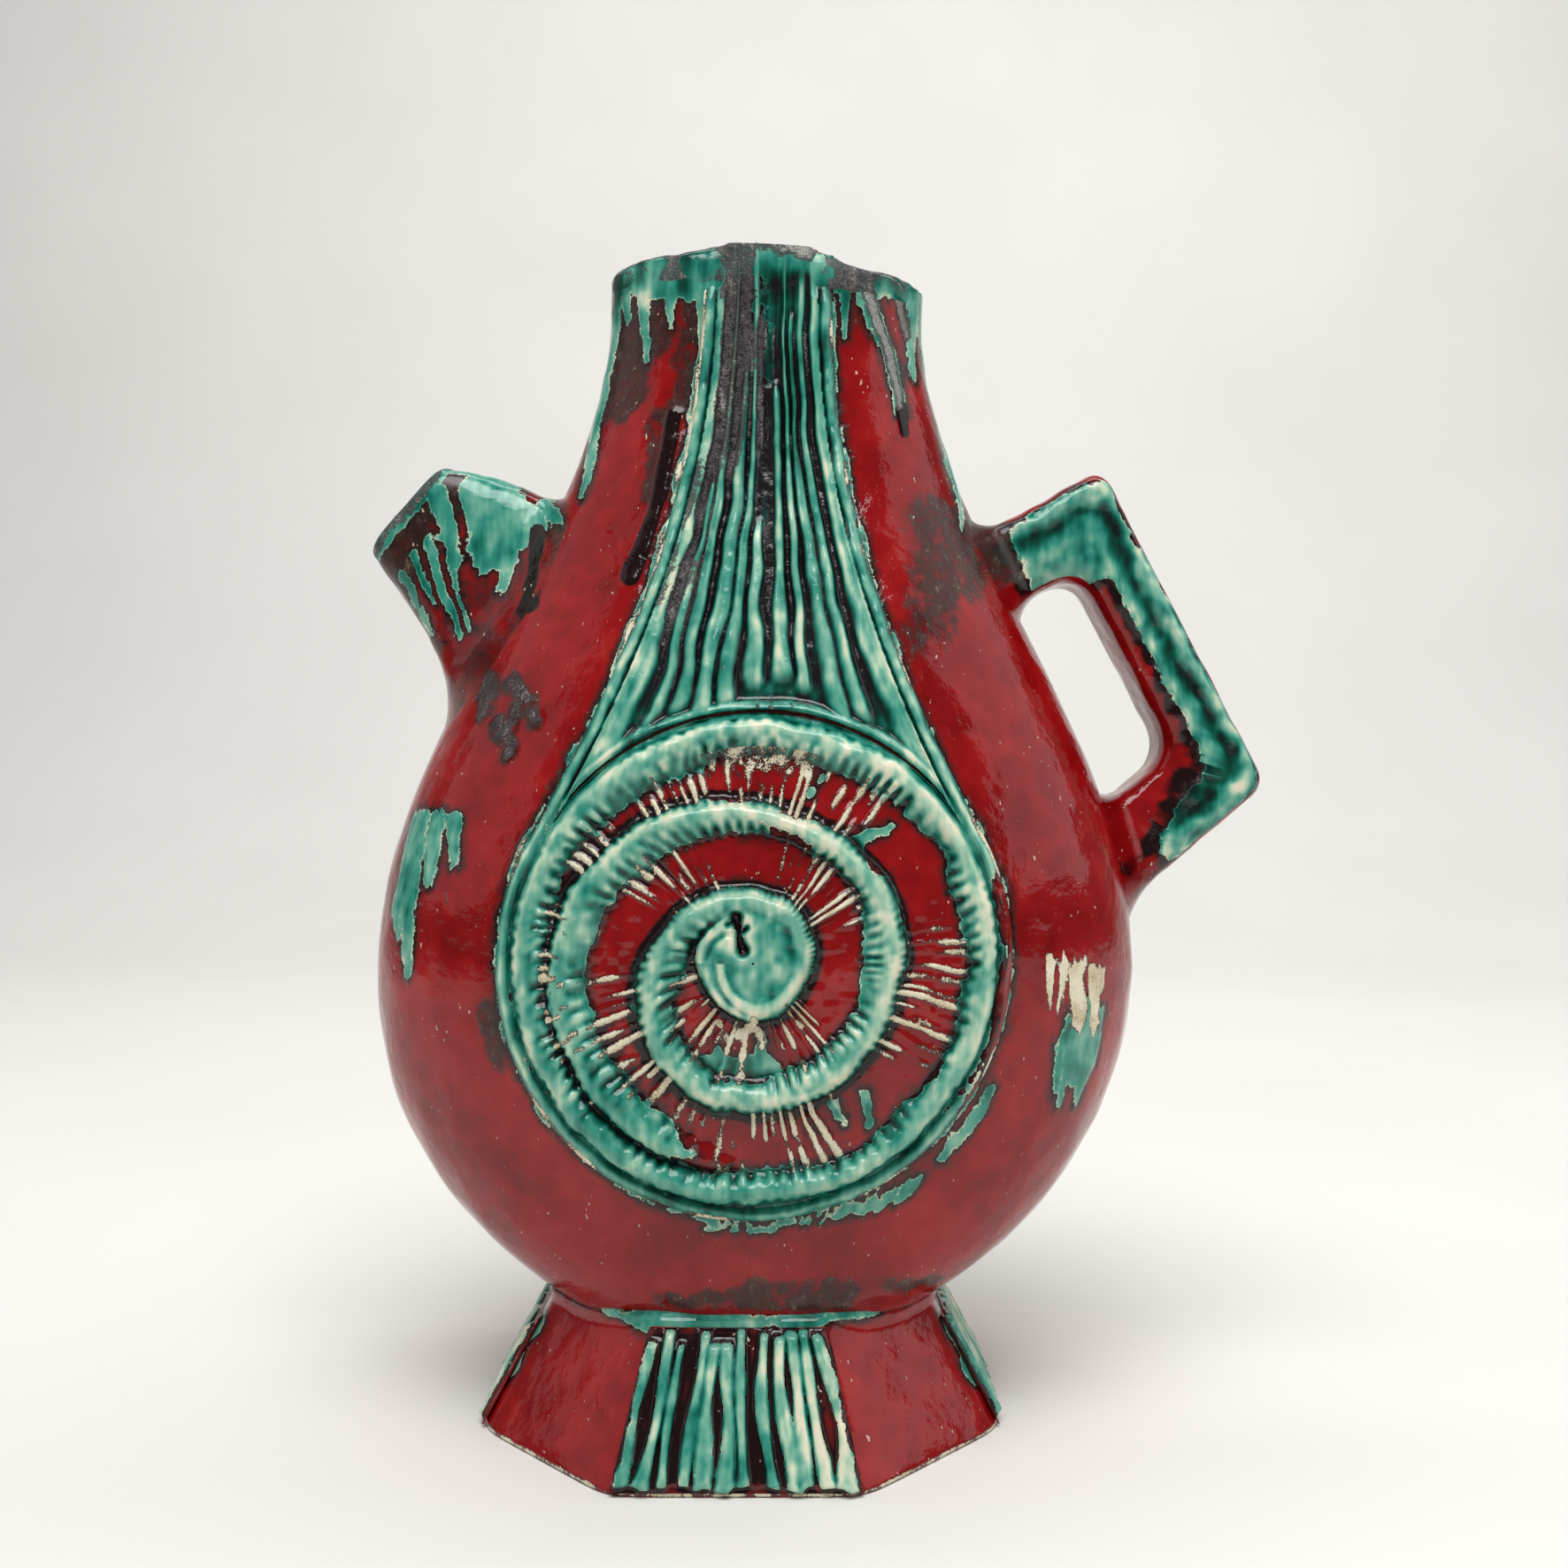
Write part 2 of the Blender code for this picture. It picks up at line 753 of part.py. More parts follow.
def make_relief(prefix, side, group):
    """The five laid-on pieces of one half."""
    make_disc(prefix + "_disc", side, group)
    make_ring(prefix + "_ring", side, group)
    make_spiral(prefix + "_spiral", side, group)
    make_border(prefix + "_border", side, group)
    make_fan(prefix + "_fan", side, group)


def main():
    clear_scene()
    vase = new_collection("fat_lava_vase")
    cutters = new_collection("cutters")
    flask_cutter = make_flask_cutter(cutters)
    bore_cutter = make_bore_cutter(cutters)
    red = (0.28, 0.012, 0.018)
    make_shell("front_shell", 1, glaze("front red glaze", red, 0.18), vase, bore_cutter)
    make_shell("rear_shell", -1, glaze("rear red glaze", red, 0.18), vase, bore_cutter)
    make_lip(vase)
    make_foot(vase, cutters, flask_cutter)
    make_base(vase)
    make_spout(vase, bore_cutter, flask_cutter)
    make_handle(vase, flask_cutter)
    make_relief("front", 1, vase)
    make_relief("rear", -1, vase)
    make_comb("comb_front", 0, foot_front_share, comb_top_z_front, vase)
    make_comb("comb_right", math.pi / 2, foot_side_share, comb_top_z_side, vase)
    make_comb("comb_rear", math.pi, foot_front_share, comb_top_z_front, vase)
    make_comb("comb_left", -math.pi / 2, foot_side_share, comb_top_z_side, vase)


main()
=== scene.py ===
"""The fat lava vase: red glaze under thick turquoise, with foot, spout, handle and relief."""
import math

import bmesh
import bpy
import numpy as np
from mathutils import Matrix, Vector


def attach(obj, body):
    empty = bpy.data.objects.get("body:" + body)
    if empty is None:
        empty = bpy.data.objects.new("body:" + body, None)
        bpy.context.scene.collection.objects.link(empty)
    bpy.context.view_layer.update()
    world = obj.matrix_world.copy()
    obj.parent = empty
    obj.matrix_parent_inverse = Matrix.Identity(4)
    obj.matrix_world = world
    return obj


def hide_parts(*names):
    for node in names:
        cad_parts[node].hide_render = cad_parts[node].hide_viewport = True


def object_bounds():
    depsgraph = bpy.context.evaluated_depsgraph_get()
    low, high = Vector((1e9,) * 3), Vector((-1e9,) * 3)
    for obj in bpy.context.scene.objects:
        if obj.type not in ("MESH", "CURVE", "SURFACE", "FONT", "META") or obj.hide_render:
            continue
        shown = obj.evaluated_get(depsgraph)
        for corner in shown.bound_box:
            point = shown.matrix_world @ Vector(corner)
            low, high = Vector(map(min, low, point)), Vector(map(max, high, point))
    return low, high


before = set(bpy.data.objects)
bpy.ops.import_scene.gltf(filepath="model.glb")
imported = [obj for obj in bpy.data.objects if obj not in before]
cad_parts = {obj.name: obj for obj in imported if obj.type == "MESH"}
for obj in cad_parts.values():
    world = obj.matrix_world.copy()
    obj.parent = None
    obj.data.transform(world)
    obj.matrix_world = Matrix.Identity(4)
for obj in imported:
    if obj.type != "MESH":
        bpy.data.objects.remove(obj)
cad_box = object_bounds()
mm = 0.001


# Base slab: a flat slab of clay let into the foot while leather hard, and wiped clean of glaze.
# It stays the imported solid, and gets a dry, gritty clay with rubbed patches.
def tone(red, green, blue):
    """A screen colour from 0 to 255 as Blender's linear one: the screen's curve undone."""
    screen = np.array((red, green, blue)) / 255
    linear = np.where(screen <= 0.04045, screen / 12.92, ((screen + 0.055) / 1.055) ** 2.4)
    return (*linear.tolist(), 1.0)


class Finish:
    """A material being laid out: each call adds one node and gives the output to use next."""

    def __init__(self, name):
        self.material = bpy.data.materials.new(name)
        self.material.use_nodes = True
        self.tree = self.material.node_tree
        self.shader = self.tree.nodes["Principled BSDF"]
        self.place = self.tree.nodes.new("ShaderNodeTexCoord").outputs["Object"]

    def feed(self, socket, value):
        """A socket takes another node's output, or a plain number or colour."""
        if isinstance(value, bpy.types.NodeSocket):
            self.tree.links.new(value, socket)
        else:
            socket.default_value = value

    def noise(self, size, detail=2.0, rough=0.5, stretch=(1, 1, 1), shift=0.0):
        """Clouds of a size in metres, from about 0.3 to 0.7, and long where stretch is under 1."""
        turn = self.tree.nodes.new("ShaderNodeMapping")
        turn.inputs["Scale"].default_value = stretch
        turn.inputs["Location"].default_value = (shift, shift * 0.7, -shift)
        self.feed(turn.inputs["Vector"], self.place)
        node = self.tree.nodes.new("ShaderNodeTexNoise")
        self.feed(node.inputs["Vector"], turn.outputs["Vector"])
        node.inputs["Scale"].default_value = 1 / size
        node.inputs["Detail"].default_value = detail
        node.inputs["Roughness"].default_value = rough
        return node.outputs["Fac"]

    def sum(self, *terms):
        """Each term is a number, or a pair of an output and what it is multiplied by."""
        total = None
        for term in terms:
            node = self.tree.nodes.new("ShaderNodeMath")
            if isinstance(term, tuple):
                node.operation = "MULTIPLY_ADD"
                values = (*term, 0.0 if total is None else total)
            else:
                node.operation = "ADD"
                values = (total, term)
            for socket, value in zip(node.inputs, values):
                self.feed(socket, value)
            total = node.outputs[0]
        return total

    def ease(self, value, low, high):
        """From 0 at low to 1 at high, eased at both ends; low may be the larger."""
        node = self.tree.nodes.new("ShaderNodeMapRange")
        node.interpolation_type = "SMOOTHSTEP"
        self.feed(node.inputs["Value"], value)
        flip = low > high
        node.inputs["From Min"].default_value = min(low, high)
        node.inputs["From Max"].default_value = max(low, high)
        node.inputs["To Min"].default_value = float(flip)
        node.inputs["To Max"].default_value = float(not flip)
        return node.outputs["Result"]

    def ramp(self, value, *stops):
        """Colours in a row: each stop is its place from 0 to 1, then its red, green and blue."""
        node = self.tree.nodes.new("ShaderNodeValToRGB")
        marks = node.color_ramp.elements
        while len(marks) < len(stops):
            marks.new(0.5)
        for mark, (position, *colour) in zip(marks, stops):
            mark.position = position
            mark.color = tone(*colour)
        self.feed(node.inputs["Fac"], value)
        return node.outputs["Color"]

    def mix(self, share, low, high, kind="RGBA"):
        """Blend from low to high, colours or numbers."""
        node = self.tree.nodes.new("ShaderNodeMix")
        node.data_type = kind
        sockets = [s for s in node.inputs if s.enabled]
        self.feed(sockets[0], share)
        self.feed(sockets[1], low)
        self.feed(sockets[2], high)
        return next(s for s in node.outputs if s.enabled)

    def mark(self, name):
        """A number stored at each point of the piece."""
        node = self.tree.nodes.new("ShaderNodeAttribute")
        node.attribute_name = name
        return node.outputs["Fac"]

    def relief(self, height):
        """A bump from a height in millimetres."""
        node = self.tree.nodes.new("ShaderNodeBump")
        node.inputs["Distance"].default_value = mm
        self.feed(node.inputs["Height"], height)
        self.feed(self.shader.inputs["Normal"], node.outputs["Normal"])


def bare_clay(name):
    """Buff clay with darker grit, rubbed pale on its high grain."""
    f = Finish(name)
    grit = f.noise(0.5 * mm, 3, 0.65)
    patch = f.noise(14 * mm, 3)
    shade = f.sum((grit, 0.9), (patch, 0.8), -0.35)
    colour = f.ramp(shade, (0.15, 126, 92, 70), (0.5, 178, 140, 108), (0.8, 206, 176, 144))
    f.feed(f.shader.inputs["Base Color"], colour)
    f.feed(f.shader.inputs["Roughness"], f.mix(grit, 0.75, 0.95, "FLOAT"))
    f.relief(f.sum((grit, 0.25), (patch, 0.3)))
    return f.material


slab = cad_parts["base_slab"]
slab.data.materials.clear()
slab.data.materials.append(bare_clay("base slab clay"))


# Foot: an eight-sided hollow foot, dipped in red glaze, with its standing edge wiped to the clay.
# It is luted to the flask's bowl, and a line of turquoise has run into the joint in front.
belly_z = 0.120
belly_half_width = 0.1045
belly_half_depth = 0.062
bowl_drop_side = 0.1003
bowl_drop_front = 0.134
flask_bottom_z = 0.029
flask_top_z = 0.3065
mouth_half_width = 0.0427
mouth_half_depth = 0.025
section_power = 2.3
wall = 0.006
flask_offset = 0.001
lean = 0.0185
foot_height = 0.036
foot_bottom_half = 0.0692
foot_top_half = 0.0497
foot_wall = 0.008
foot_edge_round = 0.0015
foot_diagonal = math.radians(43.2)
foot_diagonal_reach = 1.0121
foot_corner_power = 34
under_bowl_rise = 0.0016       # the foot's inner edge, hidden under the bowl
under_bowl_inset = 0.003
fillet_reach = 0.005
fillet_swell = 2.2             # in mm
joint_line_height = 35.6       # in mm


def ease(value, low=0.0, high=1.0):
    """From 0 at low to 1 at high, eased at both ends: 3 times the square less twice the cube."""
    share = np.clip((value - low) / (high - low), 0, 1)
    return share * share * (3 - 2 * share)


def half_size(z, at_belly, drop, at_mouth):
    """Half a width of the flask: an ellipse's arc below the belly, half a cosine wave above it."""
    arc = np.sqrt(np.clip(1 - (np.clip(belly_z - z, 0, None) / drop) ** 2, 0.01, 1))
    wave = (1 + np.cos(np.pi * np.clip((z - belly_z) / (flask_top_z - belly_z), 0, 1))) / 2
    return np.where(z < belly_z, at_belly * arc, at_mouth + (at_belly - at_mouth) * wave)


def half_width(z):
    """Half the flask's width at a height, seen from the front."""
    return half_size(z, belly_half_width, bowl_drop_side, mouth_half_width)


def half_depth(z):
    """Half the flask's depth at a height, seen from the side."""
    return half_size(z, belly_half_depth, bowl_drop_front, mouth_half_depth)


def middle_x(z):
    """Where the leaning flask's middle line is at a height."""
    return flask_offset + lean * z


def unit(way):
    """A way brought to length 1."""
    return way / np.linalg.norm(way, axis=-1, keepdims=True)


def flask_side(points):
    """How far points are outside the flask, and the way straight out of it: its rounded-oval
    level less 1, over the level's slope, and that slope brought to length 1."""
    def level(p):
        across = np.abs(p[..., 0] - middle_x(p[..., 2])) / half_width(p[..., 2])
        deep = np.abs(p[..., 1]) / half_depth(p[..., 2])
        return (across ** section_power + deep ** section_power + 1e-9) ** (1 / section_power)

    step = 0.2 * mm
    here = level(points)
    slope = np.stack([(level(points + step * axis) - here) / step for axis in np.eye(3)], -1)
    steep = np.linalg.norm(slope, axis=-1) + 1e-9
    return (here - 1) / steep, slope / steep[..., None]


def drift(points, size, seed):
    """Smooth chance values from -1 to 1: values drawn for the corners of a lattice of this size,
    blended with weights that ease from corner to corner."""
    cell = np.asarray(points, float) / size + 50.0
    low = np.floor(cell).astype(np.int64)
    part = cell - low
    part = part * part * (3 - 2 * part)
    drawn = np.random.default_rng(seed).uniform(-1, 1, 4096)
    count = cell.shape[-1]
    primes = (73856093, 19349663, 83492791)
    scatter = 2654435
    total = np.zeros(cell.shape[:-1])
    for corner in np.ndindex(*(2,) * count):
        key = np.zeros(cell.shape[:-1], np.int64)
        weight = np.ones(cell.shape[:-1])
        for axis in range(count):
            key ^= (low[..., axis] + corner[axis]) * primes[axis]
            weight *= part[..., axis] if corner[axis] else 1 - part[..., axis]
        key = (key ^ (key >> 9)) * scatter
        total += weight * drawn[(key ^ (key >> 13)) & 4095]
    return total


# Marks stored at each point: millimetres inside the turquoise, ridge or groove height, millimetres
# inside the grey crust and inside dry cream glaze, and how smoked grey the red is, which also
# carries painted shade under the bowl
blank = {"cover": -9.0, "crest": 0.0, "crust": -9.0, "cream": -9.0, "smoke_and_shade": 0.0}
same_place = 1e-6              # points nearer than this are one
sharp_edge = math.radians(60)


def closed_piece(name, grid, marks, material, ring=False):
    """One closed solid from rows of points. Each row is a loop round the section, and the rows go
    along the piece: on to the first again for a ring, or else to a face at each end. The marks
    are for the first points of each row, and the hidden rest of it stays blank."""
    rows, columns = grid.shape[:2]
    index = np.arange(rows * columns).reshape(rows, columns)
    there = np.roll(index, -1, 0) if ring else index[1:]
    here = index if ring else index[:-1]
    quads = np.stack([here, np.roll(here, -1, 1), np.roll(there, -1, 1), there], -1).reshape(-1, 4)
    points = grid.reshape(-1, 3)
    ends = [] if ring else [index[0][::-1].tolist(), index[-1].tolist()]
    corner = points[quads] - points.mean(0)
    volume = sum((corner[:, 0] * np.cross(corner[:, k], corner[:, k + 1])).sum() for k in (1, 2))
    faces = quads.tolist() + ends
    if volume < 0:
        faces = [face[::-1] for face in faces]
    mesh = bpy.data.meshes.new(name)
    mesh.from_pydata(points.tolist(), [], faces)
    for key, unmarked in blank.items():
        values = np.full((rows, columns), unmarked, np.float32)
        if key in marks:
            values[:, :marks[key].shape[1]] = marks[key]
        mesh.attributes.new(key, "FLOAT", "POINT").data.foreach_set("value", values.ravel())
    bm = bmesh.new()
    bm.from_mesh(mesh)
    bmesh.ops.remove_doubles(bm, verts=bm.verts, dist=same_place)
    bm.to_mesh(mesh)
    bm.free()
    mesh.shade_smooth()
    mesh.set_sharp_from_angle(angle=sharp_edge)
    mesh.materials.append(material)
    item = bpy.data.objects.new(name, mesh)
    bpy.context.scene.collection.objects.link(item)
    return item


def glaze(name):
    """Red glaze, with turquoise over it that is cream where thin and near black where it pools and
    where shade is painted in a groove, a scorched halo round it, dry grey crust and cream nicks,
    and smoke grey that also paints shade under the bowl."""
    f = Finish(name)
    grain = f.noise(0.45 * mm, 2, 0.6)
    crumb = f.noise(1.7 * mm, 2, 0.55)
    cloud = f.noise(6 * mm, 1.5, 0.5)
    broad = f.noise(13 * mm, 1, 0.5, shift=1.3)
    slow = f.noise(28 * mm, 3, 0.6)
    runs = f.noise(2.6 * mm, 1.5, 0.5, (1, 1, 0.25), 3.3)
    crest = f.mark("crest")
    edge = f.sum((crumb, 1.7), (grain, 0.8), (f.mark("cover"), 1.0), -1.25)
    covered = f.ease(edge, -0.04, 0.10)

    thick = f.sum((cloud, 0.5), (broad, 0.6), (runs, 0.5), (crest, -0.66), -0.41)
    thin_edge = f.sum((f.ease(edge, 0.5, 0.0), -0.34), (thick, 1.0))
    turquoise = f.ramp(thin_edge, (0.0, 226, 222, 196), (0.12, 178, 208, 180),
                       (0.26, 112, 174, 152), (0.42, 56, 144, 126), (0.57, 18, 108, 92),
                       (0.71, 4, 74, 60), (0.85, 6, 42, 38), (1.0, 22, 18, 21))

    shade = f.sum((slow, 1.5), (cloud, 0.7), (crest, 0.2), -0.6)
    red = f.ramp(shade, (0.15, 116, 5, 9), (0.42, 134, 10, 14), (0.62, 148, 16, 20),
                 (0.85, 158, 30, 28))
    near = f.ease(f.sum((edge, 1.0), (cloud, 3.0), -1.5), -2.6, -0.25)
    red = f.mix(f.sum((near, 0.85)), red, tone(50, 30, 28))
    red = f.mix(f.ease(edge, -0.9, -0.12), red, tone(24, 16, 17))
    # Near black where the crest mark is low: pooled glaze, and painted shade in the grooves beside
    # the coils
    red = f.mix(f.ease(crest, -0.22, -0.62), red, tone(26, 8, 9))
    mottle = f.noise(2.6 * mm, 3, 0.65, (1, 1, 0.6), 7.3)
    # Smoke grey: real smoke stains, and also painted shade on the foot's top and the waist under
    # the bowl
    smoked_and_shaded = f.ease(f.sum((f.mark("smoke_and_shade"), 1.5), (mottle, 2.6), (cloud, 1.2), -2.35), 0.0, 1.1)
    smoke_and_shade_tone = f.ramp(f.sum((mottle, 1.0), (grain, 0.5), -0.25), (0.30, 24, 16, 15),
                        (0.52, 40, 31, 28), (0.66, 60, 50, 44), (0.84, 140, 124, 102))
    red = f.mix(f.sum((smoked_and_shaded, 0.9)), red, smoke_and_shade_tone)

    body = f.mix(covered, red, turquoise)
    speck = f.noise(1.1 * mm, 1, 0.5, (1, 1, 0.55), 9.3)
    sparse = f.noise(9 * mm, 2, 0.5, shift=5.3)
    nick = f.ease(f.sum((speck, 1.0), (sparse, 0.35), (covered, -0.1)), 0.945, 0.975)
    dry = f.sum((f.mark("cream"), 1.0), (crumb, 1.4), (grain, 1.5), -1.45)
    creamy = f.ease(dry, -0.12, 0.2)
    cream_tone = f.ramp(f.sum((grain, 0.7), (cloud, 0.7)), (0.48, 176, 156, 126),
                        (0.66, 222, 210, 178), (0.84, 238, 232, 208))
    body = f.mix(f.ease(dry, -0.6, -0.05), body, tone(62, 36, 32))
    body = f.mix(f.sum((creamy, 0.95)), body, cream_tone)
    body = f.mix(f.sum((nick, 0.8)), body, tone(214, 190, 170))
    crusty = f.ease(f.sum((f.mark("crust"), 1.0), (crumb, 2.2), (grain, 1.6), -1.9), -0.15, 0.3)
    crust_tone = f.ramp(f.sum((grain, 0.8), (runs, 0.7), -0.1), (0.42, 30, 25, 28),
                        (0.60, 50, 45, 47), (0.78, 80, 76, 76), (0.92, 170, 166, 162))
    metal = f.ease(f.sum((f.mark("crust"), 1.0), (crumb, 1.5), (grain, 0.8), -1.15), 0.55, 1.1)
    crust_tone = f.mix(metal, crust_tone, tone(150, 146, 142))
    body = f.mix(f.sum((crusty, 0.92)), body, crust_tone)
    f.feed(f.shader.inputs["Base Color"], body)
    f.feed(f.shader.inputs["Metallic"], f.sum((metal, 0.75)))

    gloss = f.mix(covered, f.mix(smoked_and_shaded, 0.06, 0.24, "FLOAT"), 0.10, "FLOAT")
    gloss = f.mix(f.sum((creamy, 0.8)), gloss, 0.40, "FLOAT")
    gloss = f.mix(crusty, gloss, f.mix(metal, 0.36, 0.24, "FLOAT"), "FLOAT")
    f.feed(f.shader.inputs["Roughness"], f.sum((grain, 0.05), (gloss, 1.0), -0.015))
    f.shader.inputs["IOR"].default_value = 1.46
    height = f.sum((covered, 0.20), (cloud, 0.32), (crumb, 0.08), (grain, 0.012))
    f.relief(f.sum((f.sum((crusty, 0.45), (creamy, 0.10)), grain), (nick, -0.12), (height, 1.0)))
    return f.material


def outline_reach(turn):
    """How far the eight-sided outline is from its middle in each direction, for a half size of 1:
    the eight faces joined by a high power of their reach, which rounds the corners a little."""
    faces = [(math.pi / 2 * side, 1.0) for side in range(4)]
    faces += [(side * math.pi + off_axis, foot_diagonal_reach)
              for side in range(2) for off_axis in (foot_diagonal, -foot_diagonal)]
    total = sum(np.clip(np.cos(turn - way) / reach, 0, None) ** foot_corner_power
                for way, reach in faces)
    return total ** (-1 / foot_corner_power)


def foot_half(z):
    """Half the foot's width across its faces at a height."""
    return foot_bottom_half + (foot_top_half - foot_bottom_half) * z / foot_height


turn = np.linspace(0, 2 * np.pi, 560, endpoint=False)
reach = outline_reach(turn)
# Each row is a cut through the wall in one direction: up the outer side from its rounded standing
# edge, in under the bowl and down the inner side
outer_z = np.concatenate([foot_edge_round * (1 - np.cos(np.linspace(0, np.pi / 2, 5))),
                          np.linspace(foot_edge_round + 0.6 * mm, foot_height, 66)])
outer_half = foot_half(outer_z) - foot_edge_round * (
    1 - np.sqrt(np.clip(1 - (1 - np.clip(outer_z / foot_edge_round, 0, 1)) ** 2, 0, 1)))
inner_z = np.linspace(flask_bottom_z, 0, 7)
loop_z = np.concatenate([outer_z, [foot_height + under_bowl_rise], inner_z])
loop_half = np.concatenate([outer_half, [foot_top_half - under_bowl_inset],
                            foot_half(inner_z) - foot_wall])
loop_half[-len(inner_z)] -= 0.8 * mm
far = loop_half[None, :] * reach[:, None]
foot_grid = np.stack([far * np.cos(turn)[:, None], far * np.sin(turn)[:, None],
                      np.broadcast_to(loop_z, far.shape)], -1)
outward = np.stack([np.cos(turn), np.sin(turn), 0 * turn], -1)[:, None]
outer = (np.arange(len(loop_z)) < len(outer_z))[None, :]
# The outer side is a little uneven, and swells to a fillet under the bowl
uneven = 0.4 * drift(foot_grid * (1, 1, 1.6), 16 * mm, 3) + 0.08 * drift(foot_grid, 6 * mm, 4)
uneven *= ease(foot_grid[..., 2], 0.5 * mm, 5 * mm)
clear = flask_side(foot_grid)[0]
fillet = fillet_swell * np.clip(1 - clear / fillet_reach, 0, 1) ** 2
fillet = fillet * ease(foot_grid[..., 2], foot_height - 10 * mm, foot_height)
foot_grid = foot_grid + outward * np.where(outer, uneven * 0.7 + fillet - 0.25, 0)[..., None] * mm
foot_x, foot_z = foot_grid[..., 0] / mm, foot_grid[..., 2] / mm
# Turquoise in the joint line and down both side faces, and dry clay at the wiped edge
joint_line = joint_line_height + 0.7 * drift(foot_grid[..., :1], 9 * mm, 5)
joint_cover = 1.5 + 1.1 * drift(foot_grid[..., :2], 8 * mm, 6) - np.abs(foot_z - joint_line)
joint_cover += 1.5 * ease(np.abs(foot_x + 14), 17, 6) - 1.9 * ease(np.abs(foot_x - 2), 26, 42)
from_corner = foot_half(foot_grid[..., 2]) / mm - np.abs(foot_x)
corner_cover = 1.5 + 1.3 * drift(foot_grid, 5 * mm, 9) - from_corner
corner_cover -= 4 * (1 - ease(foot_z, 7, 11) * ease(foot_z, 33, 27))
wiped_edge = 0.45 - 1.4 * np.abs(foot_z - 0.75) + 0.5 * drift(foot_grid[..., :2], 3 * mm, 8)
foot = closed_piece("foot", foot_grid, {
    "cover": np.maximum(joint_cover, corner_cover),
    "crest": 0.05 * drift(foot_grid, 8 * mm, 7),
    "cream": np.where(outer, wiped_edge, 0.6),
    # Painted shade: the top of the foot, under the bowl's overhang, is darkened with the smoke
    # grey
    "smoke_and_shade": ease(foot_z, 31, 36) * 0.75,
}, glaze("foot glaze"), ring=True)
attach(foot, "root")
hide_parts("foot_shell")


# Combed panels: slip laid on the four main faces of the foot and drawn down with a coarse comb.
# The turquoise sits on the ribs and is cream along their tops, with dark glaze between them.
relief_gap = 0.00035
comb_bottom_z = 0.0012
comb_side_gap = 0.0004
comb_bare_side = 0.8           # in mm, as the next
comb_bare_foot = 2.2
comb_rise = 1.85
comb_panels = (                # side, share of the face's width, top and number of ribs
    ("front", 0.449, 0.0345, 12), ("right", 0.414, 0.0275, 10),
    ("rear", 0.449, 0.0345, 12), ("left", 0.414, 0.0275, 10))


def combed(across, along, ribs, seed, late=0.0):
    """Height from 0 to 1 of hand-drawn ribs across -1 to 1: each rib is a flat-topped bell about a
    middle that wanders, and it fades in and out along its length. With late, some ribs start
    lower, and all widen on the way."""
    chance = np.random.default_rng(seed)
    height = np.zeros_like(across)
    for rib in range(ribs):
        middle = -1 + (2 * rib + 1 + chance.uniform(-0.42, 0.42)) / ribs
        wander = chance.uniform(0.2, 0.6) / ribs
        wander = wander * np.sin(along * chance.uniform(2, 7) + chance.uniform(0, 6))
        half = chance.uniform(0.48, 0.94) / ribs * (1 + 0.2 * np.sin(along * 9 + 5 * rib))
        half = half * (1 + late * (0.9 * along - 0.45))
        start = chance.uniform(-0.1, 0.08) + late * max(0.0, chance.uniform(-0.7, 1))
        end = chance.uniform(0.90, 1.10)
        length = ease(along, start, start + 0.06) * (1 - ease(along, end, end + 0.05))
        body = np.exp(-np.abs((across - middle - wander) / half) ** 3.2)
        height = np.maximum(height, chance.uniform(0.72, 1.0) * length * body)
    return height


def ridge(height, reach):
    """Ridge or groove height: a grid of heights less the mean of its neighbours on four sides."""
    down = np.roll(height, reach, 0) + np.roll(height, -reach, 0)
    side = np.roll(height, reach, 1) + np.roll(height, -reach, 1)
    return height - (down + side) / 4


comb_rows = np.linspace(0, 1, 96)[:, None]
comb_columns = np.linspace(-1, 1, 190)[None, :]
for number, (place, share, top_z, ribs) in enumerate(comb_panels):
    z = comb_bottom_z + (top_z - comb_bottom_z) * comb_rows + 0 * comb_columns
    half = foot_half(z) * share - comb_side_gap
    x = half * comb_columns
    flat = np.stack([x, z], -1)
    sway = comb_columns + 0.02 * drift(flat, 12 * mm, 20 + number)
    height = combed(sway, 1 - comb_rows + 0 * sway, ribs, 30 + number)
    margin = half / mm * (1 - np.abs(comb_columns)) - comb_bare_side
    margin = np.minimum(margin - 0.9 * drift(flat, 4 * mm, 24 + number),
                        z / mm - comb_bare_foot - 0.9 * drift(flat, 2.5 * mm, 28 + number))
    body = 0.10 + comb_rise * height ** 0.8 + 0.10 * drift(flat, 2.5 * mm, 34)
    body = -0.5 + (body + 0.5) * ease(margin, -0.9, 0.9)
    top = np.stack([x, -foot_half(z) - relief_gap - body * mm, z], -1)
    under = np.stack([x, -foot_half(z) + 0.7 * mm, z], -1)[:, ::-17]
    cosine, sine = math.cos(math.pi / 2 * number), math.sin(math.pi / 2 * number)
    spin = np.array([[cosine, sine, 0], [-sine, cosine, 0], [0, 0, 1]])
    grid = np.concatenate([top, under], 1) @ spin
    pale = 0.7 * drift(flat, 7 * mm, 38 + number) + 0.45 * comb_columns
    crest = np.minimum(ridge(body, 4) * 1.2, 0.25) + 0.30 * pale
    crest -= 0.45 * ease(height, 0.5, 0.1) * ease(margin, 0, 1)
    cover = np.minimum(margin, 3.4 * height - 0.9 + 0.5 * drift(flat, 3 * mm, 36 + number))
    comb = closed_piece("comb_on_" + place, grid, {"crest": crest, "cover": cover},
                        glaze("comb glaze " + place))
    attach(comb, "root")
    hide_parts("comb_" + place)
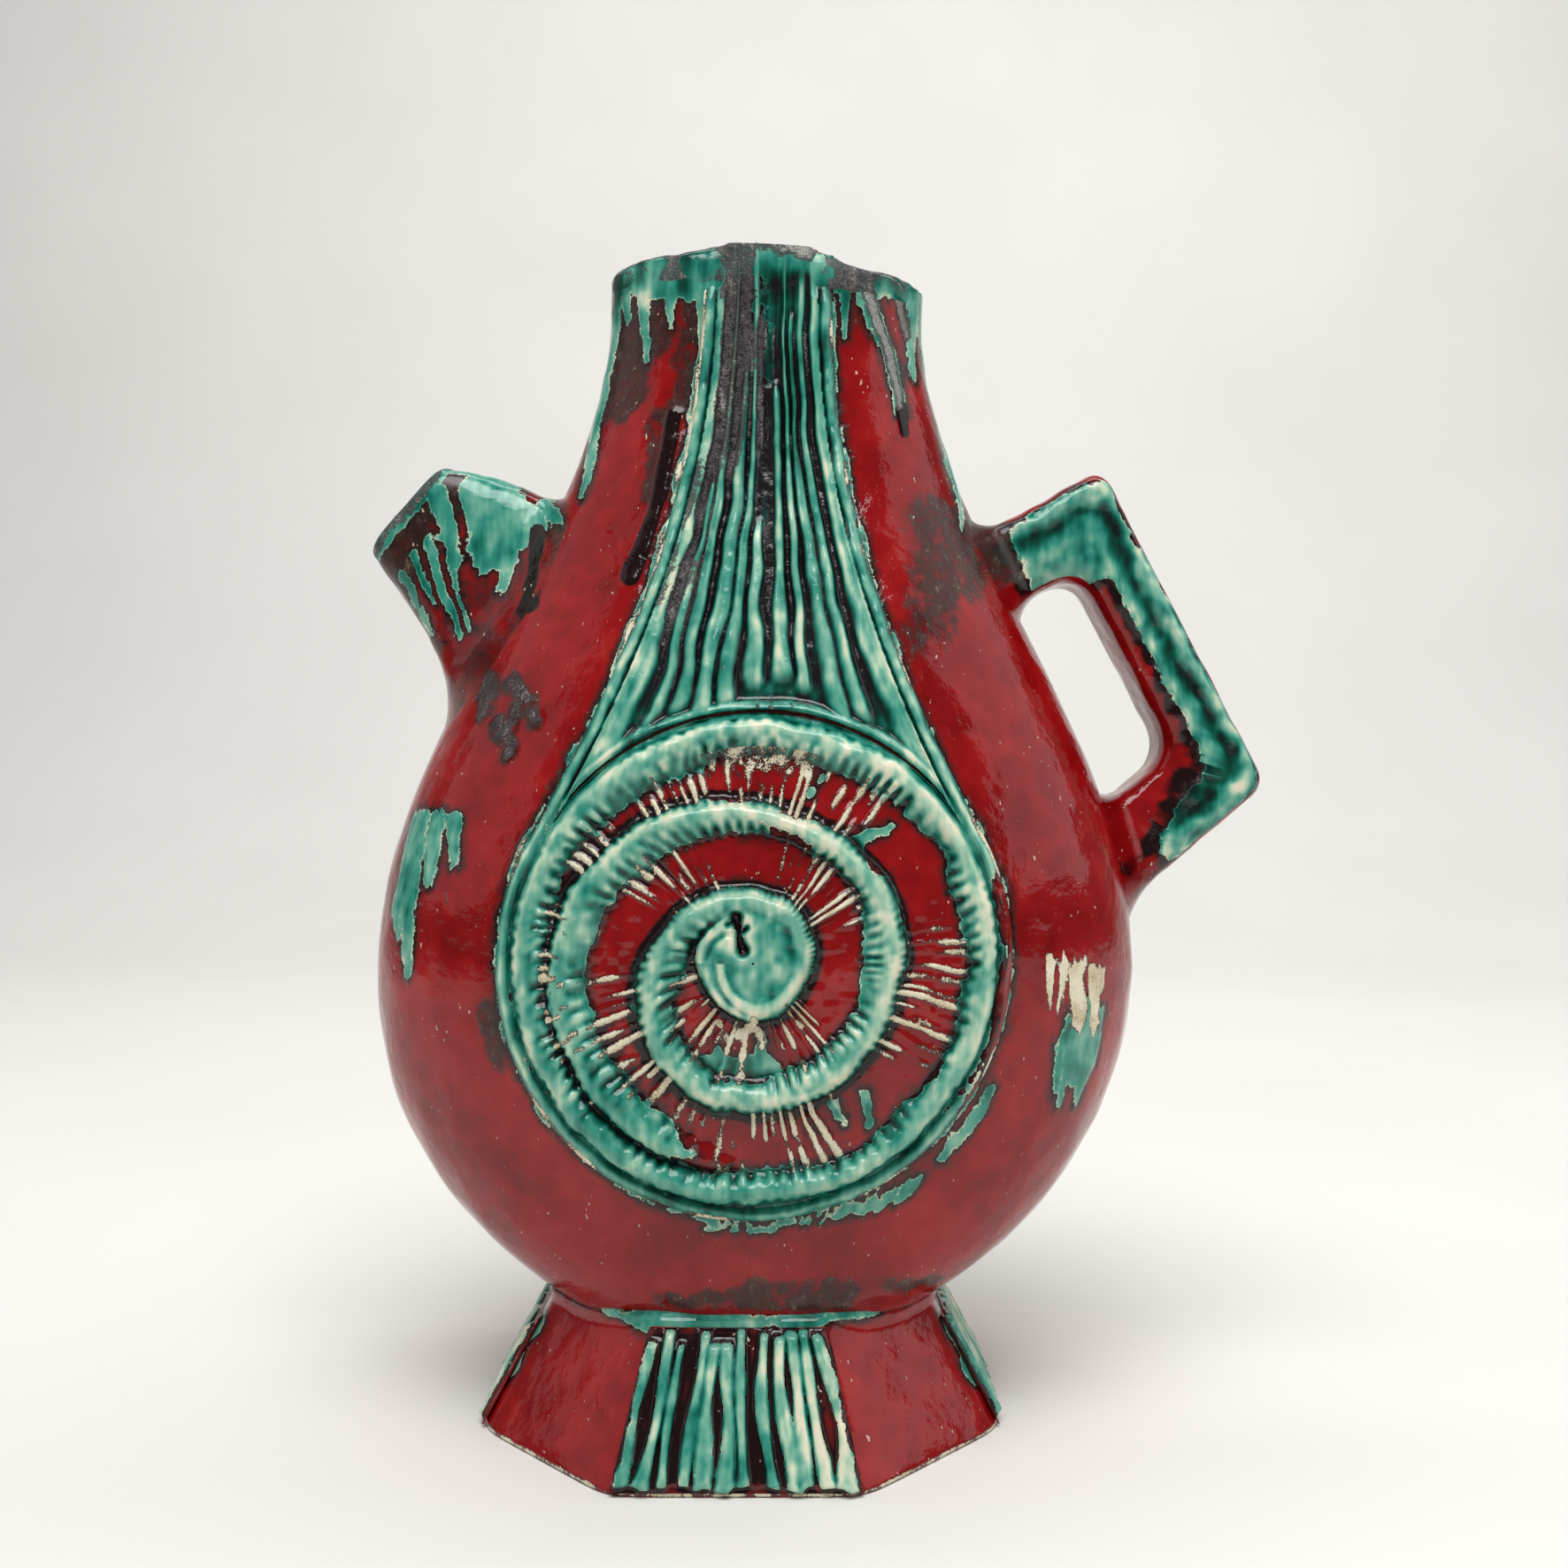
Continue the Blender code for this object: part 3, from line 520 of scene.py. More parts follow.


# Flask: two pressed halves luted at the side seams, glazed red, with turquoise run down from the
# lip, brushed dabs on both shoulders, smoke stains, painted shadow at the waist under the bowl and
# a scorched band round the laid-on relief.
neck_z = 0.262
mouth_tilt = 0.045
relief_offset = 0.0006
spiral_z = 0.127
ring_radius = 0.056
coil_width = 0.008
disc_radius = ring_radius + coil_width / 2
border_width = 0.0036
border_clearance = 0.0004
border_radius = disc_radius + border_clearance + border_width
fan_top_z = 0.303
fan_top_half_width = 0.017
fan_join_angle = math.radians(29)
fan_join_z = spiral_z + border_radius * math.sin(fan_join_angle)
fan_join_half = border_radius * math.cos(fan_join_angle)
fan_power = ((fan_top_z - fan_join_z) * math.tan(fan_join_angle)
             / (fan_join_half - fan_top_half_width))
spout_mouth = np.array((-0.0932, 0, 0.246))
spout_rise = math.radians(42)
spout_bore = 0.018
inward = np.array((math.cos(spout_rise), 0, -math.sin(spout_rise)))
handle_roots = ((0.072, 0, 0.225), (0.104, 0, 0.152))
glaze_line_z = 0.3018          # under the lip
turquoise_swell = 0.55         # how far each swells out of the flask, in mm
blister_swell = 0.8
drip_swell = 0.5
mouth_swell = 1.2


def edge_half(z):
    """Half the width of the relief's drop-shaped outline above where it leaves the circle: it
    narrows by a power of the height left to go, one that makes it leave along the tangent."""
    share = np.clip((fan_top_z - z) / (fan_top_z - fan_join_z), 0, None)
    return fan_top_half_width + (fan_join_half - fan_top_half_width) * share ** fan_power


def inside_relief(x, z):
    """Millimetres inside the relief's outline: the larger of the circle's and the drop's."""
    circle = border_radius - np.hypot(x, z - spiral_z)
    slope = (edge_half(z - mm) - edge_half(z + mm)) / (2 * mm)
    drop = (edge_half(z) - np.abs(x)) / np.hypot(1, slope)
    return np.where(z > fan_join_z, np.maximum(drop, circle), circle) / mm


def strokes(x, z, lines):
    """Millimetres inside brush strokes: each tapers evenly from one round end to another, and a
    point's place along it is where it falls square on the line. Ends and radii are in mm."""
    inside = np.full(x.shape, -9.0)
    for x0, z0, x1, z1, start, end in lines:
        run_x, run_z = x1 - x0, z1 - z0
        along = ((x / mm - x0) * run_x + (z / mm - z0) * run_z) / (run_x ** 2 + run_z ** 2)
        along = np.clip(along, 0, 1)
        away = np.hypot(x / mm - x0 - along * run_x, z / mm - z0 - along * run_z)
        inside = np.maximum(inside, start + (end - start) * along - away)
    return inside


# Strokes, drips and stains: both ends' x and z and both radii, in mm
neck_runs = (
    (-32.2, 309, -8.9, 303.5, 6.3, 5.7), (-8.9, 302.9, -1.3, 307.8, 5.7, 4.7),
    (-26.1, 302.9, -25.9, 283.7, 1.9, 0.8), (-31.1, 300.5, -30.8, 295.7, 1.4, 1.0),
    (-19.5, 302, -19.0, 292.0, 1.6, 0.6), (-10.0, 299.9, -9.5, 279.3, 1.8, 1.3),
    (-33.6, 306.8, -36.3, 286.2, 1.9, 1.4), (-36.3, 286.2, -39.8, 268.4, 1.3, 1.3),
    (-39.8, 268.4, -42.6, 251.4, 1.3, 1.5), (-42.6, 251.4, -43.4, 247.6, 1.4, 0.7),
    (28.9, 305.7, 38.6, 306.6, 3.6, 5.2), (38.6, 306.6, 48.1, 309.0, 5.8, 4.5),
    (27.9, 302.8, 27.7, 289.1, 1.5, 0.6), (33.2, 300.7, 40.0, 285.9, 2.6, 2.4),
    (40.0, 285.9, 43.0, 268.8, 2.2, 1.6), (46.4, 301.4, 46.6, 281.1, 1.9, 1.0),
    (48.4, 313.5, 49.8, 295.2, 2.2, 1.8), (49.8, 295.2, 53.2, 281.1, 1.8, 1.7),
    (53.2, 281.1, 57.0, 263.2, 1.7, 1.5), (57.0, 263.2, 60.0, 240.0, 1.5, 0.7))
neck_crust = (
    (34.0, 300.0, 39.6, 286.5, 1.9, 1.9), (39.6, 286.5, 42.8, 270.8, 2.0, 1.3),
    (30.0, 311, 33.5, 300.0, 2.0, 1.6), (42, 303, 45, 292, 2.0, 1.2),
    (-29.0, 311, -20.0, 305.5, 1.6, 1.4))
black_drips = (
    (-17.6, 267.4, -21.2, 245.5, 2.0, 1.8), (-21.2, 245.5, -27.4, 226.5, 1.8, 2.0),
    (-27.4, 226.5, -28.1, 223.9, 2.2, 2.2), (-55.1, 238.1, -56.0, 221.5, 1.6, 1.6),
    (-56.0, 221.5, -56.2, 218.0, 2.3, 2.6), (43.0, 270.8, 43.6, 264.0, 1.2, 1.3))
dabs = (
    (-85.8, 160.2, -90.2, 136.8, 1.8, 2.0), (-90.2, 136.8, -88.4, 130.0, 2.0, 0.7),
    (-83.3, 160.9, -85.9, 143.8, 2.8, 3.2), (-85.9, 143.8, -85.5, 121.2, 3.2, 1.2),
    (-78.2, 161.1, -79.4, 145.3, 2.6, 1.8), (-73.2, 160.0, -72.7, 149.3, 2.4, 1.2),
    (87.7, 109.8, 86.6, 96.4, 5.0, 4.6), (81.9, 104.7, 80.3, 91.0, 1.9, 1.0),
    (83.8, 100.2, 81.1, 86.5, 1.8, 0.8), (88.6, 98.5, 86.7, 86.7, 3.2, 0.9),
    (92.3, 110.7, 90.0, 96.1, 3.0, 1.6))
dry_dabs = (
    (79.4, 125.0, 78.4, 112.7, 2.2, 0.6), (82.9, 124.4, 81.6, 112.7, 2.3, 1.0),
    (87.0, 122.8, 86.0, 109.1, 3.4, 3.2), (92.3, 121.1, 91.7, 108.0, 2.9, 2.6),
    (-74.6, 142.0, -75.0, 139.5, 1.0, 0.6))
blisters = (
    (-65.7, 197.0, -67.6, 189.9, 3.7, 2.8), (-60.1, 195.5, -53.5, 191.8, 2.8, 2.3),
    (-63.0, 185.1, -58.7, 178.1, 3.2, 2.5), (-53.2, 188.3, -52.2, 186.7, 2.0, 1.8),
    (-57.0, 190.0, -61.0, 182.0, 2.4, 2.0))
wide_stains = (
    (51.7, 240.0, 51.6, 212.3, 6.4, 5.0), (58.9, 240.6, 60.7, 222.3, 4.3, 3.6),
    (47.0, 226.0, 46.0, 208.0, 2.0, 3.0))
smoke_and_shadow_stains = (
    (-62.5, 114.1, -59.2, 99.9, 3.1, 2.0), (-28.4, 296.1, -30.0, 273.7, 5.4, 3.9),
    (-21.0, 267.7, -23.6, 245.6, 3.3, 2.3), (62.4, 243.0, 67.2, 241.2, 2.9, 2.5),
    # These three, at the waist just over the foot, are dark blotches darkened further as painted
    # shadow under the bowl
    (3.5, 42.5, 27.8, 41.5, 4.2, 3.6), (36.9, 42.8, 51.1, 42.5, 1.8, 1.4),
    (-20.0, 40.5, 2.0, 41.0, 1.6, 3.0),
    (-33.0, 300.0, -34.5, 270.0, 4.2, 3.0), (-12.0, 297.0, -17.0, 270.0, 3.4, 2.8),
    (-21.0, 298.0, -22.0, 288.0, 4.0, 2.6),
    (34.0, 296.0, 46.0, 280.0, 2.2, 1.6))
rim_strokes = (
    (47.2, 176.3, 51.4, 166.8, 2.0, 1.9), (51.4, 166.8, 57.2, 154.8, 1.9, 1.6),
    (57.2, 154.8, 61.2, 145.0, 1.6, 1.0), (62.4, 93.4, 59.6, 87.5, 1.3, 1.6),
    (59.6, 87.5, 50.2, 77.3, 1.8, 1.4), (44.5, 72.2, 39.5, 68.5, 1.6, 1.6),
    (38.4, 67.8, 24.2, 63.8, 1.7, 1.5), (21.0, 62.9, 2.5, 60.6, 1.0, 1.2),
    (-0.8, 60.6, -8.4, 61.0, 1.0, 0.8))
spout_runs = (
    (-85.4, 235.6, -76.5, 210.2, 1.5, 1.1), (-89.4, 232.5, -83.5, 219.3, 1.2, 0.7),
    (-92.6, 226.5, -84.2, 211.0, 1.5, 0.8), (-79.4, 230.9, -73.4, 211.0, 0.9, 0.5),
    (-83.1, 249.1, -77.3, 230.9, 2.8, 2.0), (-70.5, 248.5, -59.1, 239.5, 6.9, 6.4),
    (-72.0, 246.0, -68.5, 234.0, 4.5, 4.0), (-66.0, 242.0, -63.0, 230.0, 4.0, 3.0),
    (-72.3, 234.7, -69.7, 226.3, 2.6, 1.0), (-66.3, 233.7, -64.1, 224.1, 3.4, 0.9),
    (-61.0, 233.5, -63.8, 221.3, 1.6, 0.7), (-53.3, 245.5, -50.4, 240.9, 2.6, 1.9))


def from_bore(points):
    """How far points are from the spout's bore line."""
    away = points - spout_mouth
    return np.linalg.norm(away - (away @ inward)[..., None] * inward, axis=-1)


def lip_shade(points):
    """How the thick glaze round the mouth pales and darkens in runs."""
    return 0.42 * drift(points, 7 * mm, 63) + 0.28 * drift(points * (1, 1, 0.6), 3 * mm, 64) - 0.08


def near_root(points):
    """From 0 to 1 near the roots of the spout and of the handle's two arms."""
    near = ease(from_bore(points), 48 * mm, 36 * mm) * (points[..., 0] < 0)
    for root in handle_roots:
        near = np.maximum(near, ease(np.linalg.norm(points - root, axis=-1), 34 * mm, 24 * mm))
    return near


def flask_marks(points, seed):
    """The glazes on the flask, spout and roots at each point: strokes seen from the front or the
    rear, pushed about by a slow drift, and a scorched band just outside the relief."""
    x, z = points[..., 0], points[..., 2]
    x = x + drift(points, 6 * mm, seed) * 0.7 * mm
    z = z + drift(points, 7 * mm, seed + 1) * 0.7 * mm
    bristle = drift(points * (1, 1, 0.10), 0.8 * mm, seed + 3)
    comb_end = z + 1.6 * mm * drift(points * (1, 1, 0.05), 1.1 * mm, seed + 5)
    line_drift = 2.6 * drift(points[..., :1], 6 * mm, seed)
    line_drift = line_drift + 1.4 * drift(points[..., :1], 2.4 * mm, seed + 9)
    side = np.where(points[..., 1] < 0, 1, -1)
    local = side * (points[..., 0] - middle_x(points[..., 2])) - relief_offset
    relief_in = inside_relief(local, points[..., 2])
    broken = drift(points, 9 * mm, seed + 2)
    rim = 0.5 + broken + 0.5 * drift(points, 3 * mm, seed + 6) - np.abs(relief_in + 0.4)
    cover = np.maximum.reduce([
        strokes(x, comb_end, neck_runs + dabs + rim_strokes + spout_runs),
        (z - glaze_line_z) / mm - line_drift, rim])
    cover = cover + np.where(strokes(x, z, dabs + dry_dabs) > -2, 0.45 * bristle, 0)
    blot_x = x + 1.6 * mm * drift(points, 4.5 * mm, seed + 7)
    blot_z = z + 1.6 * mm * drift(points, 4.5 * mm, seed + 8)
    blistered = strokes(blot_x, blot_z, blisters)
    smoke_and_shade = np.maximum.reduce([
        ease(strokes(blot_x, blot_z, smoke_and_shadow_stains), -2.6, 1.4), ease(blistered, -2.0, 1.0),
        0.95 * ease(strokes(blot_x, blot_z, wide_stains), -7.0, 3.0),
        0.5 * ease(relief_in, -3.2, -0.4),
        ease(points[..., 2], 0.287, 0.303) * (0.35 + 0.3 * drift(points, 9 * mm, seed + 4))])
    black = ease(strokes(x, z, black_drips), -0.7, 0.3)
    cover = np.where(black > 0.3, np.minimum(cover, -0.4), cover)
    return {
        "cover": cover,
        "crest": -black + lip_shade(points) * ease(z, 0.290, 0.301),
        "crust": np.maximum(strokes(x, z, neck_crust), np.where(
            blistered > -1.5, 1.5 * ease(blistered, -0.6, 1.8) - 1.2, -9.0)),
        "blister": blistered,
        "cream": np.maximum(strokes(x, comb_end, dry_dabs) - 0.7 + 1.7 * bristle,
                            0.9 * broken - 1.3 + 0.9 * rim - (rim < -0.2)),
        "smoke_and_shade": smoke_and_shade * (1 - 0.9 * black),
    }


def drawn_in(half, z, inset):
    """A half size drawn in by a thickness measured square to the sloping wall."""
    slope = (half(z + 0.5 * mm) - half(z - 0.5 * mm)) / mm
    return half(z) - inset * np.sqrt(1 + slope ** 2)


def boxed(turn, power):
    """A rounded box of half size 1, as a cosine and a sine to the power of 2 over its power."""
    cosine, sine = np.cos(turn), np.sin(turn)
    return (np.sign(cosine) * np.abs(cosine) ** (2 / power),
            np.sign(sine) * np.abs(sine) ** (2 / power))


def flask_point(angle, z, inset, lift=0.0):
    """A point on the flask's rounded-oval section at an angle and a height. Above the neck the
    height falls with x, which tilts the mouth."""
    across, deep = boxed(angle, section_power)
    across = across * drawn_in(half_width, z, inset)
    deep = deep * drawn_in(half_depth, z, inset)
    tilt = mouth_tilt * ease(z, neck_z, flask_top_z)
    return np.stack(np.broadcast_arrays(middle_x(z) + across, -deep, z + lift - tilt * across), -1)


def seam_end(z, inset):
    """The angle at which a section stops at the spout's side: half a turn, or less where the bore
    goes through the wall. It is the first of 400 small steps that is clear of the bore."""
    back = np.linspace(0, 0.9, 400)
    trial = flask_point(np.pi - back[None, :], z[:, None], inset)
    clear = from_bore(trial) > spout_bore / 2
    return np.pi - back[np.argmax(clear, 1)]


flask_z = np.concatenate([
    belly_z - (belly_z - flask_bottom_z) * np.sin(np.linspace(np.pi / 2, 0, 62)),
    np.linspace(belly_z, flask_top_z, 229)[1:]])
# Each row is one level of a half: the outer side from the right seam to the left, the inner back
outer_share = np.linspace(0, 1, 300)
inner_share = np.linspace(1, 0, 36)
for side, place in ((1, "front"), (-1, "rear")):
    outer_angle = outer_share * seam_end(flask_z, 0)[:, None]
    inner_angle = inner_share * seam_end(flask_z, wall)[:, None]
    outside = flask_point(outer_angle, flask_z[:, None], 0) * (1, side, 1)
    inside = flask_point(inner_angle, flask_z[:, None], wall) * (1, side, 1)
    marks = flask_marks(outside, 40 + side)
    out = outside - np.stack([middle_x(outside[..., 2]), 0 * outside[..., 2],
                              np.full(outside.shape[:2], belly_z)], -1)
    out /= np.linalg.norm(out * (1, 1, 0.35), axis=-1, keepdims=True)
    bulge = 0.42 * drift(outside, 17 * mm, 50) + 0.2 * drift(outside, 8 * mm, 51)
    bulge += turquoise_swell * ease(marks["cover"], -0.3, 1.2) + blister_swell * ease(
        marks["blister"], -1.0, 2.0)
    bulge += drip_swell * ease(-marks["crest"], 0.3, 1.0)
    bulge = bulge * (1 - near_root(outside)) + mouth_swell * ease(
        outside[..., 2], 0.290, flask_top_z)
    seam = ease(np.abs(outside[..., 1]), 0, 2 * mm)
    outside = outside + out * (1, 1, 0.35) * ((bulge * (0.3 + 0.7 * seam) - 0.15) * mm)[..., None]
    half = closed_piece("flask_" + place + "_half", np.concatenate([outside, inside], 1), marks,
                        glaze("flask glaze " + place))
    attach(half, "root")
    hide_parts(place + "_shell")


# Lip: a coil of clay pinched wavy onto the mouth. The thick glaze on top has boiled to a dry,
# metallic grey crust, and green has run off it to both sides.
lip_half_width = 0.0038
lip_height = 0.0055
lip_wave = 0.0014
seat_gap = 0.0003
crusted_through = ((-25.5, 3.5), (-7.5, 5.5), (22.0, 6.5))   # middle and half width in mm


def lip_rise(x, front=1.0):
    """The lip's height over the mouth at an x: a table read off by straight lines between entries,
    high over the fan and low at both ends."""
    reach = np.array((-40, -30, -26, -16, -3.6, 17.7, 24, 30, 36.5, 46, 52)) * mm
    extra = np.array((-2.2, -1.6, -0.5, -0.6, 2.3, 2.3, 0.2, -1.8, -1.0, -2.4, -2.8)) * mm
    return seat_gap + lip_height + front * np.interp(x, reach, extra)


def lip_crust(points):
    """The crust mark on the lip's sides: high within the stretches that have crusted right down
    the side seen from the front, and the same from the rear."""
    x = (points[..., 0] - middle_x(flask_top_z)) / mm * np.where(points[..., 1] < 0, 1, -1)
    x = x + 2.4 * drift(points, 5 * mm, 92) + 1.2 * drift(points, 2 * mm, 93)
    inside = np.max([half - np.abs(x - middle) for middle, half in crusted_through], 0)
    return -1.1 + 1.6 * ease(inside, -1.0, 1.2)


angle = np.linspace(0, 2 * np.pi, 460, endpoint=False)[:, None]
# Each row is the coil's section at one angle, and its low points are sunk in the flask's wall
round_it = np.concatenate([np.linspace(-0.6, np.pi + 0.5, 38), [np.pi + 0.9, -1.0]])[None, :]
ring_line = flask_point(angle, np.full_like(angle, flask_top_z), wall / 2)
front = 0.7 + 0.3 * ease(-ring_line[..., 1], -10 * mm, 10 * mm)
crown = lip_rise(ring_line[..., 0], front) + 0.5 * lip_wave * np.sin(5 * angle) * np.cos(2 * angle)
sine = np.sin(round_it)
rise = (crown - 0.2 * mm) * np.sign(sine) * np.abs(sine) ** 0.8
rise = np.where(sine < 0, 1.2 * lip_height * sine, rise)
inset = wall / 2 - (lip_half_width + 0.2 * mm) * np.cos(round_it)
lip_grid = flask_point(angle, np.full_like(angle, flask_top_z), inset, rise)
lumps = 0.75 * drift(lip_grid, 9 * mm, 60) + 0.3 * drift(lip_grid, 3.5 * mm, 61)
lip_grid[..., 2] += (lumps * ease(sine, 0, 0.6) - 0.35) * mm
outer_way = np.stack([np.cos(angle), -np.sin(angle), 0 * angle], -1)
lip_grid += outer_way * (lumps * 0.8 * np.cos(round_it))[..., None] * mm
lip_grid[..., 2] = np.minimum(lip_grid[..., 2], cad_box[1][2] - 0.1 * mm)
crust = -1.1 + 2.4 * ease(sine, 0.5, 0.95) + 1.4 * drift(lip_grid, 8 * mm, 62)
crust = crust + 1.4 * ease(-np.cos(round_it), 0, 0.8) + 0.8 * drift(
    lip_grid * (1, 1, 0.15), 2.6 * mm, 91)
lip = closed_piece("lip", lip_grid, {
    "cover": np.full(lip_grid.shape[:2], 3.0),
    "crest": 0.3 * lumps * ease(sine, 0, 0.6) + lip_shade(lip_grid),
    "crust": np.maximum(crust, lip_crust(lip_grid)),
}, glaze("lip glaze"), ring=True)
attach(lip, "root")
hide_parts("lip_ring")


# Spout: a squarish tube of slab clay, bored through into the flask and smoothed into its shoulder.
# Its mouth is crusted, and turquoise runs down its sides over scorched red.
spout_mouth_height = 0.031
spout_mouth_half_depth = 0.015
spout_root_top = np.array((-0.049, 0, 0.246))
spout_root_low = np.array((-0.080, 0, 0.200))
spout_root_half_depth = 0.018
spout_corner_power = 4.2
spout_crown = 0.003
rim_round = 0.0028
root_depth = 0.0025
hollow_reach = 0.017           # of the soft joint under the spout, and how much less over it
hollow_reach_less = 0.010
hollow_depth = 0.015
hollow_depth_less = 0.011
bore_length = 0.042
glazed_bore = 0.97             # the glaze narrows the bore
flared_bore = 0.12             # and its first 4 mm flare


def join_shading(item, section=0):
    """Turn a piece's shading to the flask's own where it runs out on the flask: glaze bridges the
    joint there. With the count of a section's points, the first and last sections are shaded like
    the next ones, so that glaze runs over a mitre too."""
    mesh = item.data
    points = np.empty(3 * len(mesh.vertices), np.float32)
    facing = np.empty(3 * len(mesh.vertices), np.float32)
    mesh.vertices.foreach_get("co", points)
    mesh.vertices.foreach_get("normal", facing)
    points, facing = points.reshape(-1, 3).astype(float), facing.reshape(-1, 3)
    if section:
        facing[:section] = facing[section:2 * section]
        facing[-section:] = facing[-2 * section:-section]
    away, flask_way = flask_side(points)
    share = (ease(away, 8 * mm, 0) * (from_bore(points) > spout_bore))[:, None]
    mixed = facing * (1 - share) + flask_way * share
    mesh.normals_split_custom_set_from_vertices(unit(mixed))


def soften_root(points, out, reach, amount):
    """Spread points outwards where they near the flask, by a quarter of an ellipse that starts
    reach away, and put each back to its own height over the flask: a smooth hollow joint."""
    away = flask_side(points)[0]
    near = np.clip(1 - (away + 0.4 * mm) / reach, 0, 1)
    moved = points + out * (amount * (1 - np.sqrt(1 - near ** 2)))[..., None]
    for _ in range(3):
        now, way = flask_side(moved)
        moved = moved - way * np.where(away < reach, now - away, 0)[..., None]
    return moved


across = np.array((math.sin(spout_rise), 0, math.cos(spout_rise)))
deep = np.array((0, 1, 0))
turn = np.linspace(0, 2 * np.pi, 280, endpoint=False)[None, :]
up_share, deep_share = boxed(turn, spout_corner_power)


def spout_body(share):
    """Points of the spout's wall: its top and low lines run straight from the mouth to the root,
    the top one bowed by half a sine wave, and its section is a rounded box between them."""
    run = share[..., None]
    top = spout_mouth + across * spout_mouth_height / 2
    low = spout_mouth - across * spout_mouth_height / 2
    top = top + (spout_root_top - top) * run + across * spout_crown * np.sin(
        np.pi * np.clip(run, 0, 1))
    low = low + (spout_root_low - low) * run
    half = spout_mouth_half_depth + (spout_root_half_depth - spout_mouth_half_depth) * ease(share)
    return ((top + low) / 2 + (top - low) / 2 * up_share[..., None]
            + deep * (half * deep_share)[..., None])


# The rows go from a root's depth inside the flask out to the mouth, round its rim and back in
# down the bore. Each line of the wall is tried in small steps to find where it is that deep.
tries = np.linspace(0.4, 2.2, 240)[:, None] + 0 * turn
sunk_rows = flask_side(spout_body(tries))[0] < -root_depth
root_share = tries[np.argmax(sunk_rows, 0), 0]
share = root_share + (0.075 - root_share) * np.linspace(0, 1, 104)[:, None] ** 0.85
body = spout_body(share)
out = unit(across * up_share[..., None] + deep * deep_share[..., None])
above = np.clip(up_share, 0, 1) + 0 * share
body = soften_root(body, out, hollow_reach - hollow_reach_less * above,
                   hollow_depth - hollow_depth_less * above)
rim_way = unit(body[-1] - body[-1].mean(0))
rim = [body[-1] - rim_way * rim_round * (1 - math.cos(bend))
       - inward * (rim_round * math.sin(bend) * 0.8) for bend in np.linspace(0, np.pi / 2, 9)[1:]]
circle = spout_bore / 2 * glazed_bore * (np.cos(turn)[0][:, None] * across
                                         + np.sin(turn)[0][:, None] * deep)
funnel_end = spout_mouth + circle * (1 + flared_bore) - inward * 0.2 * mm
funnel = [rim[-1] + (funnel_end - rim[-1]) * step for step in np.linspace(0.12, 1, 9)]
bore = [spout_mouth + circle * (1 + flared_bore * (1 - min(depth / 0.004, 1))) + inward * depth
        for depth in np.linspace(0.0006, bore_length, 24)]
spout_grid = np.concatenate([body, np.array(rim), np.array(funnel), np.array(bore)])
lumps = 0.45 * drift(spout_grid, 11 * mm, 70) + 0.25 * drift(spout_grid, 4.5 * mm, 71)
to_side = spout_grid - (spout_mouth + ((spout_grid - spout_mouth) @ inward)[..., None] * inward)
to_side /= np.linalg.norm(to_side, axis=-1, keepdims=True) + 1e-9
row = np.arange(len(spout_grid))[:, None]
loose = ease(flask_side(spout_grid)[0], 0, 6 * mm)
spout_grid = spout_grid + to_side * ((lumps - 0.35) * loose * 0.8 * mm)[..., None]
at_mouth = ease(row, len(body) - 12, len(body) + 3) * ease(row, len(body) + 26, len(body) + 16)
marks = flask_marks(spout_grid, 44)
on_top = ease(up_share, 0.6, 0.95) * loose
mouth_cover = -1.4 + 4 * at_mouth + drift(spout_grid, 4 * mm, 72)
top_cover = -2.0 + 2.8 * on_top * ease(row, 20, 60) + 1.2 * drift(spout_grid, 7 * mm, 73)
crust = np.maximum(-2.4 + 3.4 * at_mouth + 1.5 * drift(spout_grid, 6 * mm, 74),
                   -2.8 + 2.0 * on_top + 1.2 * drift(spout_grid, 6 * mm, 75))
cover = np.maximum(marks["cover"], np.maximum(mouth_cover, top_cover))
smoke_and_shade = np.maximum(marks["smoke_and_shade"], ease(row, 48, 80) + 0.4 * on_top)
in_bore = row > len(body) + 20
spout = closed_piece("spout_tube", spout_grid, {
    "cover": np.where(in_bore, -4.0, cover),
    "crest": np.where(marks["crest"] < -0.5, marks["crest"], 0.3 * lumps),
    "crust": np.minimum(crust, 0.4),
    "cream": marks["cream"],
    "smoke_and_shade": np.where(in_bore, 0.8, smoke_and_shade),
}, glaze("spout glaze"), ring=True)
join_shading(spout)
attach(spout, "root")
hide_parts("spout")


# Handle: three bars of clay mitred at two corners and pressed onto the flask. The turquoise lies
# on the faces in two ridges with a dark pool between them; the inner side and edges stay red.
handle_top_corner = np.array((0.0995, 0.258))
handle_low_corner = np.array((0.1455, 0.1695))
handle_top_slope = math.radians(28.5)
handle_low_slope = math.radians(40.3)
handle_top_inner = np.array((0.0925, 0.2280))
handle_low_inner = np.array((0.1180, 0.1790))
handle_top_runs = (0.054, 0.038)        # the outer and the inner line, from corner into flask
handle_low_runs = (0.066, 0.031)
handle_outer_round = 0.0055
handle_inner_round = 0.010
handle_depth = 0.026
handle_corner_power = 4.6
arm_hollow_reach = 0.009       # of the soft joint round each arm's root
arm_hollow_depth = 0.006
outer_ridge = (0.17, 0.09)     # middle and half width, as shares of the face from its outer edge
inner_ridge = (0.58, 0.10)
dark_pool = (0.37, 0.10)
handle_bars = (("handle_top", "handle_top_arm"), ("handle_bar", "handle_grip"),
               ("handle_low", "handle_bottom_arm"))


